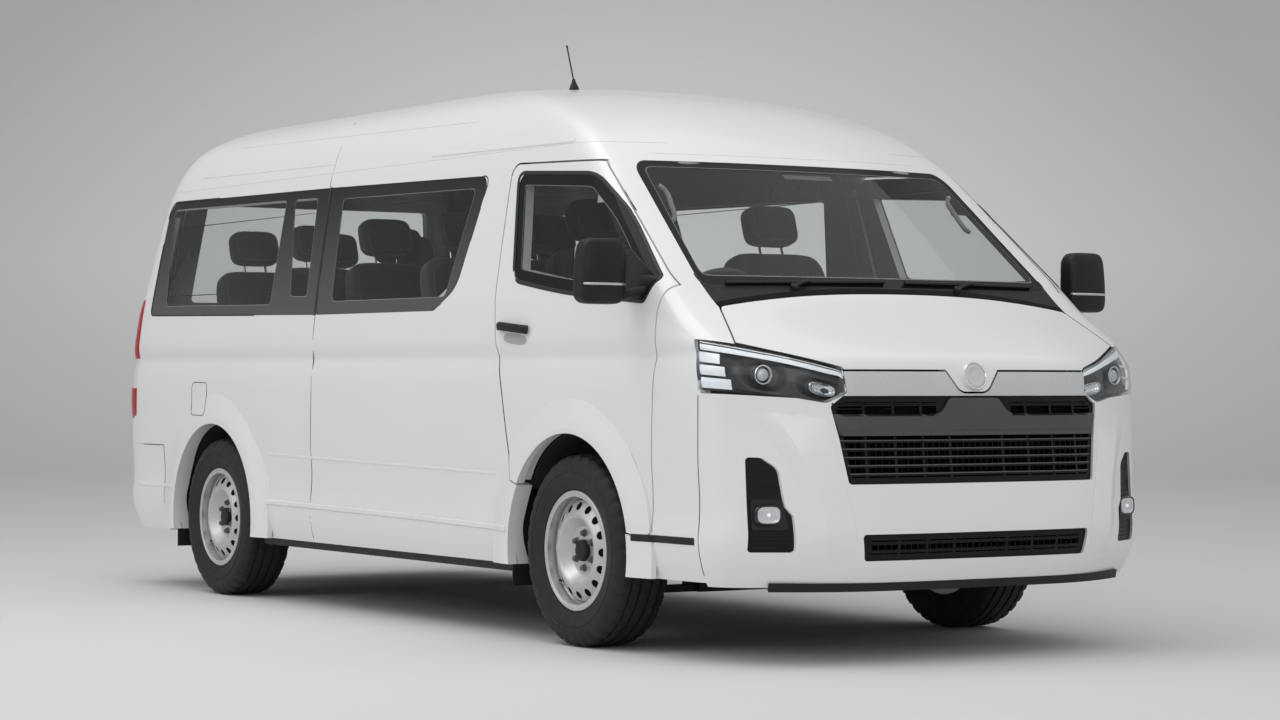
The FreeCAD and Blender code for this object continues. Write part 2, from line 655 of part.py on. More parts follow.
# The bonnet turns on two lugs of the cowl, each in a pocket under the bonnet's rear edge.
# The stem's height and the pocket's reach are measured in lug radii.
LUG_DROP = 4
POCKET_REACH = 1.25
LID_PIN = (NOSE + BONNET_SHARES[0][1] * LENGTH - size("lid_hinge_setback"), up(LID_HINGE_SHARES[1]))
LID_PIN_PLACE = LID_HINGE_SHARES[0] * HALF_WIDTH
lug = size("lug_width") / 2
lid_pin = cross_pin(LID_PIN_PLACE, lug + size("pin_reach") / 2, LID_PIN, size("pin_radius"))
lid_bore = cross_pin(LID_PIN_PLACE, lug + size("pin_reach"), LID_PIN, size("pin_radius") + size("bore_clearance"))


def lug_box(y0, y1, z0, z1, side=0.0):
    y, z = LID_PIN
    return box(-LID_PIN_PLACE - lug - side, -LID_PIN_PLACE + lug + side, y + y0, y + y1, z + z0, z + z1)


def bonnet_lug():
    """A lug of the cowl that reaches forward under the bonnet and up to the pin."""
    wide = size("lug_radius")
    back = size("lug_reach")
    eye = cross_pin(LID_PIN_PLACE, lug, LID_PIN, wide)
    stem = lug_box(-wide, wide, -LUG_DROP * wide, 0)
    foot = lug_box(-wide, back, -(LUG_DROP + 2) * wide, -LUG_DROP * wide)
    post = lug_box(back - 2 * wide, back, -(LUG_DROP + 2) * wide, LUG_DROP * wide)
    return eye.fuse([stem, foot, post.common(rebate_form), lid_pin])


def boss():
    """The right half of the plain round boss on the bonnet's tongue."""
    y, z = BOSS_PLACE_SHARES
    inward = Vector(0, 1, -BOSS_LEAN_SHARE)
    disc = Part.makeCylinder(size("badge_radius"), size("badge_depth"), Vector(0, along(y), up(z)), inward)
    return disc.cut(box(0, FULL, NOSE, 0, 0, HEIGHT))


roof = shell.common(roof_prism(-PANEL / 2)).cut([tail_opening(LID), door_prism(GAP)]).fuse(roof_ears())
add_feature("roof_panel", compound([whole(roof)]))
add_feature("tailgate", compound([whole(tailgate().fuse(tailgate_ear()).cut(tail_bore))]))
pocket = lug_box(-POCKET_REACH * size("lug_radius"), LENGTH, -LENGTH, POCKET_REACH * size("lug_radius"), GAP)
bonnet = shell.common(bonnet_prism()).cut([screen_prism(PANEL), pocket, lid_bore]).fuse(boss())
add_feature("bonnet", compound([whole(bonnet)]))
screen = screen_prism().common(glass_sheet).cut(roof_prism(PANEL / 2))
add_feature("windscreen", compound([whole(screen)]))
cowl = shell.common(cowl_box()).cut([screen_prism(PANEL), bonnet_prism(size("cowl_gap"))]).fuse(bonnet_lug())
add_feature("cowl", compound([whole(cowl)]))
tail_pane = tail_prism(TAIL_GLASS_SHARES, TAIL_GLASS_CORNER_SHARES, -SEAT).common(glass_sheet)
add_feature("tailgate_glass", compound([whole(tail_pane)]))
windows = []
for window in SIDE_WINDOWS:
    windows += both(window_glass(window))
add_feature("side_windows", compound(windows))
door_glass = window_glass(DOOR_WINDOW)
add_feature("door_glass_right", compound([door_glass]))
add_feature("door_glass_left", compound([mirror(door_glass)]))


# Body pieces at the nose and the tail
GRILLE_SHARES = [(0.557, 0.2840), (0.583, 0.3550), (0.608, 0.4060), (0.560, 0.4225)]
GRILLE_CORNER_SHARES = [0.006, 0.020, 0.006, 0.002]
LOWER_GRILLE_SHARES = [(0.500, 0.1640), (0.515, 0.2060)]
LOWER_GRILLE_CORNER_SHARES = [0.006, 0.006]
BAR_SHARES = [(0.545, 0.4235), (0.552, 0.4608)]
BAR_CORNER_SHARES = [0.003, 0.003]
FOG_SHARES = [(0.885, 0.3270), (0.835, 0.3260), (0.785, 0.3080), (0.770, 0.2500), (0.745, 0.2350), (0.738, 0.1790),
              (0.885, 0.1790)]
FOG_CORNER_SHARES = [0.006, 0.01, 0.02, 0.01, 0.006, 0.006, 0.006]


def fog_prism(distance=0.0):
    points = [(-x * HALF_WIDTH, up(z)) for x, z in FOG_SHARES]
    radii = [HEIGHT * corner for corner in FOG_CORNER_SHARES]
    return end_prism(points, radii, NOSE - OVERRUN, NOSE + 1.5 * OVERRUN, distance)


lamp_form = body_solid(size("lamp_depth"))
lamp_layer = rebate_form.cut(lamp_form)
grille_layer = rebate_form.cut(inner_form)


openings = [centred_prism(GRILLE_SHARES, GRILLE_CORNER_SHARES), fog_prism(), lamp_prism(PANEL),
            centred_prism(LOWER_GRILLE_SHARES, LOWER_GRILLE_CORNER_SHARES), bonnet_prism(LID),
            centred_prism(BAR_SHARES, BAR_CORNER_SHARES, PANEL)]
bumper = shell.common(bumper_prism()).cut(openings)
add_feature("front_bumper", compound([whole(bumper)]))
bar = shell.common(centred_prism(BAR_SHARES, BAR_CORNER_SHARES))
add_feature("grille_bar", compound([whole(bar.cut([bonnet_prism(LID), lamp_prism(PANEL)]))]))


def level_bar(x0, x1, low, high):
    return box(x0 * HALF_WIDTH, x1 * HALF_WIDTH, NOSE - OVERRUN, NOSE + OVERRUN, low, high)


def slatted(shares, corners, levels, posts, plates):
    """The right half of a grille: its frame, slats, posts and closed plates."""
    blank = grille_layer.common(centred_prism(shares, corners, -SEAT))
    frame = blank.cut(centred_prism(shares, corners, -size("slat_depth")))
    thick = size("slat_height")
    bars = [level_bar(-1, 0, up(z), up(z) + thick) for z in levels]
    bars += [level_bar(x0, x1, up(low), up(high)) for x0, x1, low, high in plates]
    for x in posts:
        middle = x * HALF_WIDTH
        bars.append(box(middle - thick / 2, middle + thick / 2, NOSE - OVERRUN, NOSE + OVERRUN, 0, HEIGHT))
    filling = bars[0].fuse(bars[1:])
    return frame.fuse(blank.common(filling))


SLAT_SHARES = [0.2965, 0.3095, 0.3225, 0.3355, 0.3485, 0.4060]
POST_SHARES = [-0.48, -0.36, -0.24, -0.12]
PLATE_SHARES = [(-0.70, 0, 0.3590, 0.3930), (-0.17, 0, 0.3590, 0.4230)]
LOWER_SLAT_SHARES = [0.1760, 0.1890]
main_grille = slatted(GRILLE_SHARES, GRILLE_CORNER_SHARES, SLAT_SHARES, POST_SHARES, PLATE_SHARES)
lower_grille = slatted(LOWER_GRILLE_SHARES, LOWER_GRILLE_CORNER_SHARES, LOWER_SLAT_SHARES, POST_SHARES, [])
fog_lamps = both(grille_layer.common(fog_prism(-SEAT)))
add_feature("grilles", compound([whole(main_grille), whole(lower_grille)] + fog_lamps))
add_feature("headlamps", compound(both(lamp_layer.common(lamp_prism(-SEAT)))))
add_feature("headlamp_lenses", compound(both(lamp_prism(-SEAT).common(glass_sheet))))
rear_bumper = shell.common(rear_bumper_prism()).cut([tail_opening(LID), tail_lamp_prism(PANEL)])
add_feature("rear_bumper", compound([whole(rear_bumper)]))
tail_lamp = shell.common(tail_lamp_prism()).cut(tail_opening(LID))
add_feature("tail_lamps", compound(both(tail_lamp)))

# Floor, rails and wheel housings
RAIL = size("rail_place")
HALF_RAIL = size("rail_width") / 2
FLOOR = size("floor_top")
FLOOR_BOTTOM = FLOOR - size("floor_wall")
RAIL_BOTTOM = FLOOR_BOTTOM - size("rail_height")
RAIL_START_SHARE = -0.474
RAIL_END_SHARE = 0.470
FLOOR_START_SHARE = -0.3800
DASH_WALL_SHARE = 0.50
HOUSING_REACH_SHARE = 0.9
BOLT_START_SHARE = 0.435
PAD_START_SHARE = 0.100
CROSSMEMBER_SHARES = [-0.474, -0.10, 0.02, 0.17, 0.40, 0.4560]
CRADLE_SHARES = [-0.43, -0.37]
HOUSING_SPAN = [(FRONT_AXLE, size("housing_inside_front")), (REAR_AXLE, size("housing_inside_rear"))]


def across(x0, x1, y, wide, z0, z1):
    return box(x0, x1, along(y), along(y) + wide, z0, z1)


def floor_beams():
    """The right rail with its half of the crossmembers and of the engine's cradle."""
    rail = size("rail_width")
    inner = -RAIL - HALF_RAIL
    outer = -RAIL + HALF_RAIL
    low = RAIL_BOTTOM - rail
    pieces = [box(inner, outer, along(RAIL_START_SHARE), along(RAIL_END_SHARE), RAIL_BOTTOM, FLOOR_BOTTOM + SEAT)]
    for share in CROSSMEMBER_SHARES:
        pieces.append(across(-RAIL, 0, share, rail, RAIL_BOTTOM + HALF_RAIL, FLOOR_BOTTOM + SEAT))
    for share in CRADLE_SHARES:
        pieces.append(across(-RAIL, 0, share, rail, low, RAIL_BOTTOM - SEAT))
        pieces.append(across(inner, outer, share, rail, low, FLOOR_BOTTOM))
    return pieces


def housing(axle, inside, distance):
    radius = size("housing_radius") + distance
    return wheel_cylinder(axle, radius, inside - distance, FULL + distance)


def floor_pan():
    """The right half of the floor with its dash wall, beams and wheel housings."""
    wall = size("housing_wall")
    plate = box(-FULL, 0, along(FLOOR_START_SHARE), TAIL - WALL, FLOOR_BOTTOM, FLOOR)
    dash_wall = box(-FULL, 0, along(FLOOR_START_SHARE) - 2 * wall, along(FLOOR_START_SHARE), FLOOR_BOTTOM, up(DASH_WALL_SHARE))
    covers = []
    hollows = []
    for axle, inside in HOUSING_SPAN:
        low = box(-2 * FULL, 0, NOSE, TAIL, -OVERRUN, FLOOR_BOTTOM)
        covers.append(housing(axle, inside, wall).cut(low))
        hollows.append(housing(axle, inside, 0))
    pan = plate.fuse([dash_wall] + floor_beams() + covers).cut(hollows)
    sill_line = FRONT_AXLE - size("housing_radius") * HOUSING_REACH_SHARE
    door_end = along(DOOR_SHARES[0][0])
    cabin_space = lining_form.common(box(-FULL, 0, door_end, TAIL, 0, HEIGHT))
    door_space = clear_form.common(box(-FULL, 0, sill_line, door_end, 0, HEIGHT))
    nose_space = clear_form.common(box(-size("sill_place"), 0, NOSE, sill_line, 0, HEIGHT))
    return pan.common(cabin_space.fuse([door_space, nose_space]))


def jack_pads():
    """The flat pads under both rails that a jack lifts on."""
    wide = size("pad_width") / 2
    start = along(PAD_START_SHARE)
    low = RAIL_BOTTOM - size("pad_height")
    return both(box(-RAIL - wide, -RAIL + wide, start, start + size("pad_length"), low, RAIL_BOTTOM))


def drilled(pan):
    """The floor with the tow bar's bolt holes."""
    tools = []
    for side in (-1, 1):
        for row in (0, 1):
            place = Vector(side * RAIL, along(BOLT_START_SHARE) + row * size("bolt_rows"), RAIL_BOTTOM)
            tools.append(Part.makeCylinder(size("bolt_radius"), size("bolt_depth"), place))
    return pan.cut(tools)


clear_form = body_solid(WALL + GAP)
add_feature("floor_pan", compound([drilled(whole(floor_pan())).fuse(jack_pads())]))


def add_primitive(kind, name, bindings):
    item = doc.addObject(kind, name)
    for prop, formula in bindings.items():
        item.setExpression(prop, formula)
    return item


ENGINE_START_SHARE = -0.46
RADIATOR_START_SHARE = -0.474
RADIATOR_HALF_SHARE = 0.4
ENGINE_BINDINGS = {
    "Length": "sizes.engine_width", "Width": "sizes.engine_length", "Height": "sizes.engine_height",
    "Placement.Base.x": "-sizes.engine_width / 2",
    "Placement.Base.y": "%s * sizes.overall_length" % ENGINE_START_SHARE,
    "Placement.Base.z": "sizes.floor_top - sizes.floor_wall - sizes.rail_height + sizes.seat_gap",
}
RADIATOR_BINDINGS = {
    "Length": "2 * %s * sizes.half_width" % RADIATOR_HALF_SHARE,
    "Width": "sizes.wall", "Height": "sizes.radiator_height",
    "Placement.Base.x": "-%s * sizes.half_width" % RADIATOR_HALF_SHARE,
    "Placement.Base.y": "%s * sizes.overall_length" % RADIATOR_START_SHARE,
    "Placement.Base.z": "sizes.floor_top - sizes.floor_wall + 2 * sizes.seat_gap",
}
engine_block = add_primitive("Part::Box", "engine_block", ENGINE_BINDINGS)
radiator = add_primitive("Part::Box", "radiator", RADIATOR_BINDINGS)
engine = doc.addObject("Part::Compound", "engine_and_radiator")
engine.Links = [engine_block, radiator]
engine.Label = "engine_and_radiator"
NODES.append(engine)


def shaft(x0, x1, y, z, radius):
    return Part.makeCylinder(radius, x1 - x0, Vector(x0, y, z), Vector(1, 0, 0))


TYRE_INSIDE = size("tyre_side") - size("tyre_width")
WHEEL_MIDDLE = size("tyre_side") - size("tyre_width") / 2
DISC_BACK = WHEEL_MIDDLE + size("disc_place") - size("disc_wall")
BRAKE_OUT = DISC_BACK - size("brake_gap")
BRAKE_IN = BRAKE_OUT - size("brake_width")
SPINDLE_END = DISC_BACK + size("disc_wall") + size("cap_height") / 3


def hub_parts(axle):
    """The brake and the spindle that carry a right wheel."""
    brake = shaft(-BRAKE_OUT, -BRAKE_IN, axle, AXLE_HEIGHT, size("brake_radius"))
    spindle = shaft(-SPINDLE_END, -BRAKE_OUT, axle, AXLE_HEIGHT, size("spindle_radius"))
    return brake.fuse(spindle)


knuckle = hub_parts(FRONT_AXLE)
add_feature("knuckle_right", knuckle)
add_feature("knuckle_left", mirror(knuckle))


# The casing in the rear axle's middle, in tube radii
CASING_REACH = 3.0


def axle_tube():
    """The rear axle's tube with the casing in its middle and the brakes at its ends."""
    tube = shaft(-BRAKE_OUT, BRAKE_OUT, REAR_AXLE, AXLE_HEIGHT, size("axle_radius"))
    wide = size("axle_radius") * CASING_REACH
    start = Vector(-wide * 3 / 2, REAR_AXLE, AXLE_HEIGHT)
    flank = Part.makeCone(size("axle_radius") / 2, wide, wide, start, Vector(1, 0, 0))
    middle = shaft(-wide / 2, wide / 2, REAR_AXLE, AXLE_HEIGHT, wide)
    return tube.fuse([middle] + both(flank) + both(hub_parts(REAR_AXLE)))


def leaf_spring():
    """The right leaf spring with the shackles that carry it under the rail."""
    leaf = size("spring_leaf_height")
    half = size("spring_leaf_width") / 2
    reach = size("spring_length") / 2
    low = AXLE_HEIGHT + size("axle_radius") - leaf / 4
    pieces = [box(-RAIL - half, -RAIL + half, REAR_AXLE - reach, REAR_AXLE + reach, low, low + leaf)]
    for end in (-1, 1):
        y = REAR_AXLE + end * (reach - half)
        pieces.append(box(-RAIL - half / 2, -RAIL + half / 2, y - half / 2, y + half / 2, low, RAIL_BOTTOM - SEAT))
    return pieces[0].fuse(pieces[1:])


def rear_axle():
    return axle_tube().fuse(both(leaf_spring()))


add_feature("rear_axle", compound([rear_axle()]))


# The damper's radius as a share of the arms' half width
DAMPER_SHARE = 0.8


def suspension_arms():
    """The two arms on the right, the damper between them and the bracket to the rail."""
    half = size("arm_width") / 2
    outside = -size("kingpin_place") - half / 2
    upper = AXLE_HEIGHT + size("brake_radius") + SEAT
    lower = AXLE_HEIGHT - size("brake_radius") - SEAT
    beside = -RAIL - HALF_RAIL - SEAT
    tower = -size("housing_inside_front") - half - WALL
    front = FRONT_AXLE - half
    back = FRONT_AXLE + half
    height = FLOOR_BOTTOM - lower - SEAT
    damper = Part.makeCylinder(half * DAMPER_SHARE, height, Vector(tower, FRONT_AXLE, lower))
    return [box(outside, beside, front, back, upper, upper + size("arm_height")),
            box(outside, -RAIL / 2, front, back, lower - size("arm_height"), lower),
            box(tower, beside, front, back, FLOOR_BOTTOM - WALL, FLOOR_BOTTOM - SEAT), damper]


def front_suspension():
    """Crossmember, two pairs of arms and the dampers."""
    wide = size("arm_width")
    low = AXLE_HEIGHT - size("brake_radius") - SEAT - size("arm_height")
    beam = box(-RAIL, RAIL, FRONT_AXLE - wide, FRONT_AXLE + wide, low, RAIL_BOTTOM - SEAT)
    pieces = []
    for arm in suspension_arms():
        pieces += both(arm)
    return beam.fuse(pieces)


add_feature("front_suspension", compound([front_suspension()]))


# Wheels: a revolved tyre on a revolved rim
def sketch_outline(body, name, corners):
    """A closed outline on the body's XZ plane whose corners are bound to the sheet."""
    sketch = body.newObject("Sketcher::SketchObject", name)
    plane = next(item for item in body.Origin.OriginFeatures if item.Role == "XZ_Plane")
    sketch.AttachmentSupport = [(plane, "")]
    sketch.MapMode = "FlatFace"
    values = [(evaluate(x), evaluate(y)) for x, y in corners]
    count = len(values)
    for k in range(count):
        sketch.addGeometry(Part.LineSegment(Vector(*values[k], 0), Vector(*values[(k + 1) % count], 0)))
    for k in range(count):
        sketch.addConstraint(Sketcher.Constraint("Coincident", k, 2, (k + 1) % count, 1))
    for k, (x, y) in enumerate(corners):
        if x == "0":
            sketch.addConstraint(Sketcher.Constraint("PointOnObject", k, 1, -2))
        for kind, formula, value in (("DistanceX", x, values[k][0]), ("DistanceY", y, values[k][1])):
            if formula == "0":
                continue
            index = sketch.addConstraint(Sketcher.Constraint(kind, -1, 1, k, 1, value))
            sketch.setExpression("Constraints[%d]" % index, formula)
    return sketch


def evaluate(formula):
    """The value of a sheet formula, worked out in this document."""
    return float(sheet.evalExpression(formula))


def revolve_sketch(body, sketch, name):
    turn = body.newObject("PartDesign::Revolution", name)
    turn.Profile = sketch
    turn.ReferenceAxis = (sketch, ["V_Axis"])
    turn.Angle = 360
    return turn


TYRE_CORNERS = [
    ("sizes.bead_radius + sizes.seat_gap", "-(sizes.rim_half_width - sizes.rim_wall - sizes.seat_gap)"),
    ("sizes.rim_radius + sizes.seat_gap * 3", "-(sizes.rim_half_width - sizes.rim_wall - sizes.seat_gap)"),
    ("sizes.rim_radius + sizes.rim_wall", "-(sizes.rim_half_width + sizes.rim_wall / 2)"),
    ("sizes.tyre_radius * 0.80", "-sizes.tyre_width / 2"),
    ("sizes.tyre_radius * 0.93", "-(sizes.tyre_width / 2 - sizes.tread_edge / 4)"),
    ("sizes.tyre_radius", "-(sizes.tyre_width / 2 - sizes.tread_edge)"),
]


def mirror_corners(corners):
    return corners + [(x, y[1:] if y.startswith("-") else "-" + y) for x, y in reversed(corners)]


def wheel_placement(axle, side):
    direction = Vector(side, 0, 0)
    return Placement(Vector(side * WHEEL_MIDDLE, axle, AXLE_HEIGHT), Rotation(Vector(0, 0, 1), direction))


def make_tyre(name, axle, side):
    body = doc.addObject("PartDesign::Body", name)
    sketch = sketch_outline(body, name + "_profile", mirror_corners(TYRE_CORNERS))
    revolve_sketch(body, sketch, name + "_turn")
    body.Label = name
    body.Placement = wheel_placement(axle, side)
    NODES.append(body)


RIM_CORNERS = [
    ("sizes.rim_radius", "sizes.rim_half_width"),
    ("sizes.rim_radius", "sizes.rim_half_width - sizes.rim_wall"),
    ("sizes.bead_radius", "sizes.rim_half_width - sizes.rim_wall"),
    ("sizes.bead_radius", "sizes.rim_half_width / 2 + sizes.rim_wall"),
    ("sizes.well_radius", "sizes.rim_half_width / 3"),
    ("sizes.well_radius", "-sizes.rim_half_width / 3"),
    ("sizes.bead_radius", "-(sizes.rim_half_width / 2 + sizes.rim_wall)"),
    ("sizes.bead_radius", "-(sizes.rim_half_width - sizes.rim_wall)"),
    ("sizes.rim_radius", "-(sizes.rim_half_width - sizes.rim_wall)"),
    ("sizes.rim_radius", "-sizes.rim_half_width"),
    ("sizes.bead_radius - sizes.rim_wall", "-sizes.rim_half_width"),
    ("sizes.bead_radius - sizes.rim_wall", "-(sizes.rim_half_width / 2 + sizes.rim_wall * 1.5)"),
    ("sizes.well_radius - sizes.rim_wall", "-(sizes.rim_half_width / 3 + sizes.rim_wall / 2)"),
    ("sizes.well_radius - sizes.rim_wall", "sizes.rim_wall / 2"),
    ("sizes.ring_radius + sizes.ring_height", "sizes.disc_place - sizes.disc_wall"),
    ("sizes.spindle_radius + sizes.bore_clearance", "sizes.disc_place - sizes.disc_wall"),
    ("sizes.spindle_radius + sizes.bore_clearance", "sizes.disc_place + sizes.cap_height / 2"),
    ("0", "sizes.disc_place + sizes.cap_height / 2"),
    ("0", "sizes.disc_place + sizes.cap_height"),
    ("sizes.cap_radius * 0.8", "sizes.disc_place + sizes.cap_height"),
    ("sizes.cap_radius", "sizes.disc_place + sizes.cap_height * 0.7"),
    ("sizes.cap_radius", "sizes.disc_place"),
    ("sizes.hub_radius", "sizes.disc_place"),
    ("sizes.ring_radius - sizes.ring_height / 3", "sizes.disc_place + sizes.ring_height"),
    ("sizes.ring_radius + sizes.ring_height / 3", "sizes.disc_place + sizes.ring_height"),
    ("sizes.ring_radius + sizes.ring_height * 1.2", "sizes.disc_place"),
    ("sizes.well_radius - sizes.rim_wall", "sizes.rim_wall * 1.5"),
    ("sizes.well_radius - sizes.rim_wall", "sizes.rim_half_width / 3 + sizes.rim_wall / 2"),
    ("sizes.bead_radius - sizes.rim_wall", "sizes.rim_half_width / 2 + sizes.rim_wall * 1.5"),
    ("sizes.bead_radius - sizes.rim_wall", "sizes.rim_half_width"),
]


HOLE_COUNT = 18


def ring_of_holes(body, name):
    """Round holes through the disc, near the rim's well."""
    sketch = body.newObject("Sketcher::SketchObject", name + "_hole")
    plane = next(item for item in body.Origin.OriginFeatures if item.Role == "XY_Plane")
    sketch.AttachmentSupport = [(plane, "")]
    sketch.MapMode = "FlatFace"
    middle = Vector(size("rim_hole_circle"), 0, 0)
    sketch.addGeometry(Part.Circle(middle, Vector(0, 0, 1), size("rim_hole_radius")))
    sketch.addConstraint(Sketcher.Constraint("PointOnObject", 0, 3, -1))
    reach = sketch.addConstraint(Sketcher.Constraint("DistanceX", -1, 1, 0, 3, middle.x))
    radius = sketch.addConstraint(Sketcher.Constraint("Radius", 0, size("rim_hole_radius")))
    sketch.setExpression("Constraints[%d]" % reach, "sizes.rim_hole_circle")
    sketch.setExpression("Constraints[%d]" % radius, "sizes.rim_hole_radius")
    pocket = body.newObject("PartDesign::Pocket", name + "_pocket")
    pocket.Profile = sketch
    pocket.Type = "ThroughAll"
    pocket.Midplane = True
    pattern = body.newObject("PartDesign::PolarPattern", name + "_pattern")
    pattern.Originals = [pocket]
    axis = next(item for item in body.Origin.OriginFeatures if item.Role == "Z_Axis")
    pattern.Axis = (axis, [""])
    pattern.Angle = 360
    pattern.Occurrences = HOLE_COUNT
    body.Tip = pattern


def make_rim(name, axle, side):
    body = doc.addObject("PartDesign::Body", name)
    sketch = sketch_outline(body, name + "_profile", RIM_CORNERS)
    revolve_sketch(body, sketch, name + "_turn")
    ring_of_holes(body, name)
    body.Label = name
    body.Placement = wheel_placement(axle, side)
    NODES.append(body)


for place, axle in (("front", FRONT_AXLE), ("rear", REAR_AXLE)):
    for side_name, side in (("right", -1), ("left", 1)):
        make_tyre("tyre_%s_%s" % (place, side_name), axle, side)
        make_rim("rim_%s_%s" % (place, side_name), axle, side)


# Inside the cabin
def run_across(points, radii, x0, x1):
    """A solid with an outline drawn as places along and up, from x0 to x1."""
    wire = rounded_wire([Vector(x0, y, z) for y, z in points], radii)
    return Part.Face(wire).extrude(Vector(x1 - x0, 0, 0))


# The cushion's side view: shares of the depth and of the back's wall along, of the cushion's height up
CUSHION_SHARES = [(0, 0, 0), (0, 0, 1), (1, 0, 0.8), (1, 1, -0.1)]
# The back's: shares of its wall and its lean along, of the cushion's and the back's height up
REST_SHARES = [(-0.2, 0, 0.5, 0), (0, 1, 0, 1), (1, 1, 0, 1), (1, 0, 0, 0)]
# The head restraint's: shares of the back's wall along, of its own height up
HEAD_SHARES = [(0, 0), (0.2, 1), (1, 1), (1, 0)]
LEAN_SHARE = 0.26
SOFT_SHARE = 0.4
HEAD_RISE_SHARE = 0.25
PEDESTAL_INSET_SHARE = 0.12


def seat_body(x0, x1, y):
    """Pedestal, cushion and leaning back of a seat whose front edge is at y."""
    hip = size("hip_height")
    thick = size("cushion_height")
    depth = size("seat_depth")
    back = size("back_wall")
    lean = size("back_height") * LEAN_SHARE
    soft = thick * SOFT_SHARE
    cushion = [(y + a * depth + b * back, hip + c * thick) for a, b, c in CUSHION_SHARES]
    rest = [(y + depth + a * back + b * lean, hip + c * thick + d * size("back_height"))
            for a, b, c, d in REST_SHARES]
    inset = (x1 - x0) * PEDESTAL_INSET_SHARE
    foot = box(x0 + inset, x1 - inset, y + inset, y + depth - inset, FLOOR + SEAT, hip + thick / 3)
    return [run_across(cushion, [soft] * 4, x0, x1), run_across(rest, [soft] * 4, x0, x1), foot]


def head_restraint(middle, y):
    """A head restraint on its two rods, centred on middle."""
    back = size("back_wall")
    top = size("hip_height") + size("back_height")
    low = top + back * HEAD_RISE_SHARE
    start = y + size("seat_depth") + size("back_height") * LEAN_SHARE
    half = size("head_width") / 2
    soft = size("cushion_height") * SOFT_SHARE
    points = [(start + a * back, low + b * size("head_height")) for a, b in HEAD_SHARES]
    pieces = [run_across(points, [soft * 3 / 4] * 4, middle - half, middle + half)]
    for step in (-half / 2, half / 2):
        place = Vector(middle + step, start + back / 2, top - back / 2)
        pieces.append(Part.makeCylinder(size("stud_radius") / 2, back, place))
    return pieces


def seat(x0, x1, y, heads):
    pieces = seat_body(x0, x1, y)
    for share in heads:
        pieces += head_restraint(x0 + share * (x1 - x0), y)
    return pieces[0].fuse(pieces[1:])


SEAT_PLACE = size("seat_place")
HALF_SEAT = size("seat_width") / 2
HALF_BENCH = size("housing_inside_rear") - WALL
FRONT_SEAT_SHARE = -0.2750
ROW_SHARES = [-0.075, 0.055, 0.185, 0.310]
BENCH_HEAD_SHARES = [0.17, 0.5, 0.83]
front_seat = seat(-SEAT_PLACE - HALF_SEAT, -SEAT_PLACE + HALF_SEAT, along(FRONT_SEAT_SHARE), [0.5])
front_seat = front_seat.cut(housing(FRONT_AXLE, size("housing_inside_front"), size("housing_wall") + SEAT))
add_feature("front_seats", compound(both(front_seat)))
rear_seats = [seat(-HALF_BENCH, HALF_BENCH, along(share), BENCH_HEAD_SHARES) for share in ROW_SHARES]
add_feature("rear_seats", compound(rear_seats))

DASH_SHARES = [(-0.37994, 0.420), (-0.37994, 0.545), (-0.3560, 0.580), (-0.3200, 0.560), (-0.3130, 0.500),
               (-0.3400, 0.400)]
DASH_CORNER_SHARES = [0.01, 0.02, 0.02, 0.03, 0.03, 0.02]
dash_points, dash_radii = outline(DASH_SHARES, DASH_CORNER_SHARES)
dash_blank = run_across(dash_points, dash_radii, -size("sill_place"), 0)
dash = whole(dash_blank.common(clear_form))
add_feature("dashboard", compound([dash]))


STEERING_SHARES = (-0.2950, 0.5600)
STEERING_AXIS = Vector(0, 0.80, 0.60)
# The column's length and radius, as shares of the wheel's radius and of its rim's
COLUMN_SHARES = (1.2, 1.5)


def spoke(turn, centre):
    """One spoke of the steering wheel, turned round its axis."""
    rod = size("wheel_rim_tube")
    bar = box(0, size("wheel_rim_radius"), -rod, rod, -rod / 2, rod / 2)
    bar.rotate(Vector(0, 0, 0), Vector(0, 0, 1), turn)
    bar.Placement = Placement(centre, Rotation(Vector(0, 0, 1), STEERING_AXIS)).multiply(bar.Placement)
    return bar


def steering_wheel():
    """The driver's wheel on its column, on the right."""
    y, z = STEERING_SHARES
    centre = Vector(-SEAT_PLACE, along(y), up(z))
    radius = size("wheel_rim_radius")
    rod = size("wheel_rim_tube")
    ring = Part.makeTorus(radius, rod, centre, STEERING_AXIS)
    hub = Part.makeCylinder(radius / 3, rod * 2, centre - STEERING_AXIS * rod, STEERING_AXIS)
    length = radius * COLUMN_SHARES[0]
    column = Part.makeCylinder(rod * COLUMN_SHARES[1], length, centre - STEERING_AXIS * length, STEERING_AXIS)
    spokes = [spoke(turn, centre) for turn in (0, 180, 270)]
    return ring.fuse([hub, column] + spokes).cut(dash)


add_feature("steering_wheel", compound([steering_wheel()]))


# Small outside pieces
seat_form = body_solid(-SEAT)
outer_layer = whole(body_solid(-SEAT - size("wiper_arm")).cut(seat_form))


def strip(start, end):
    """A flat bar from start to end as seen from the front, reaching back to the windscreen."""
    run = (end - start).normalize()
    side = Vector(-run.z, 0, run.x) * size("wiper_arm") / 2
    wire = Part.makePolygon([start + side, end + side, end - side, start - side, start + side])
    return Part.Face(wire).extrude(Vector(0, 3 * OVERRUN, 0))


def wiper(start, end, foot):
    """A blade lying on the windscreen's foot and its arm."""
    blade = strip(start, end)
    arm = strip(foot, (start + end) / 2)
    return outer_layer.common(blade.fuse(arm))


# Both ends and the foot of each wiper
WIPER_SHARES = [((-0.62, 0.610), (0.02, 0.612), (-0.45, 0.600)), ((0.10, 0.611), (0.72, 0.610), (0.30, 0.600))]
wipers = []
for places in WIPER_SHARES:
    wipers.append(wiper(*[Vector(x * HALF_WIDTH, NOSE, up(z)) for x, z in places]))

MIRROR_PLACE_SHARES = (-0.3600, 0.6200)
MIRROR_IN = HALF_WIDTH + WALL
MIRROR_Y = along(MIRROR_PLACE_SHARES[0])
MIRROR_Z = up(MIRROR_PLACE_SHARES[1])
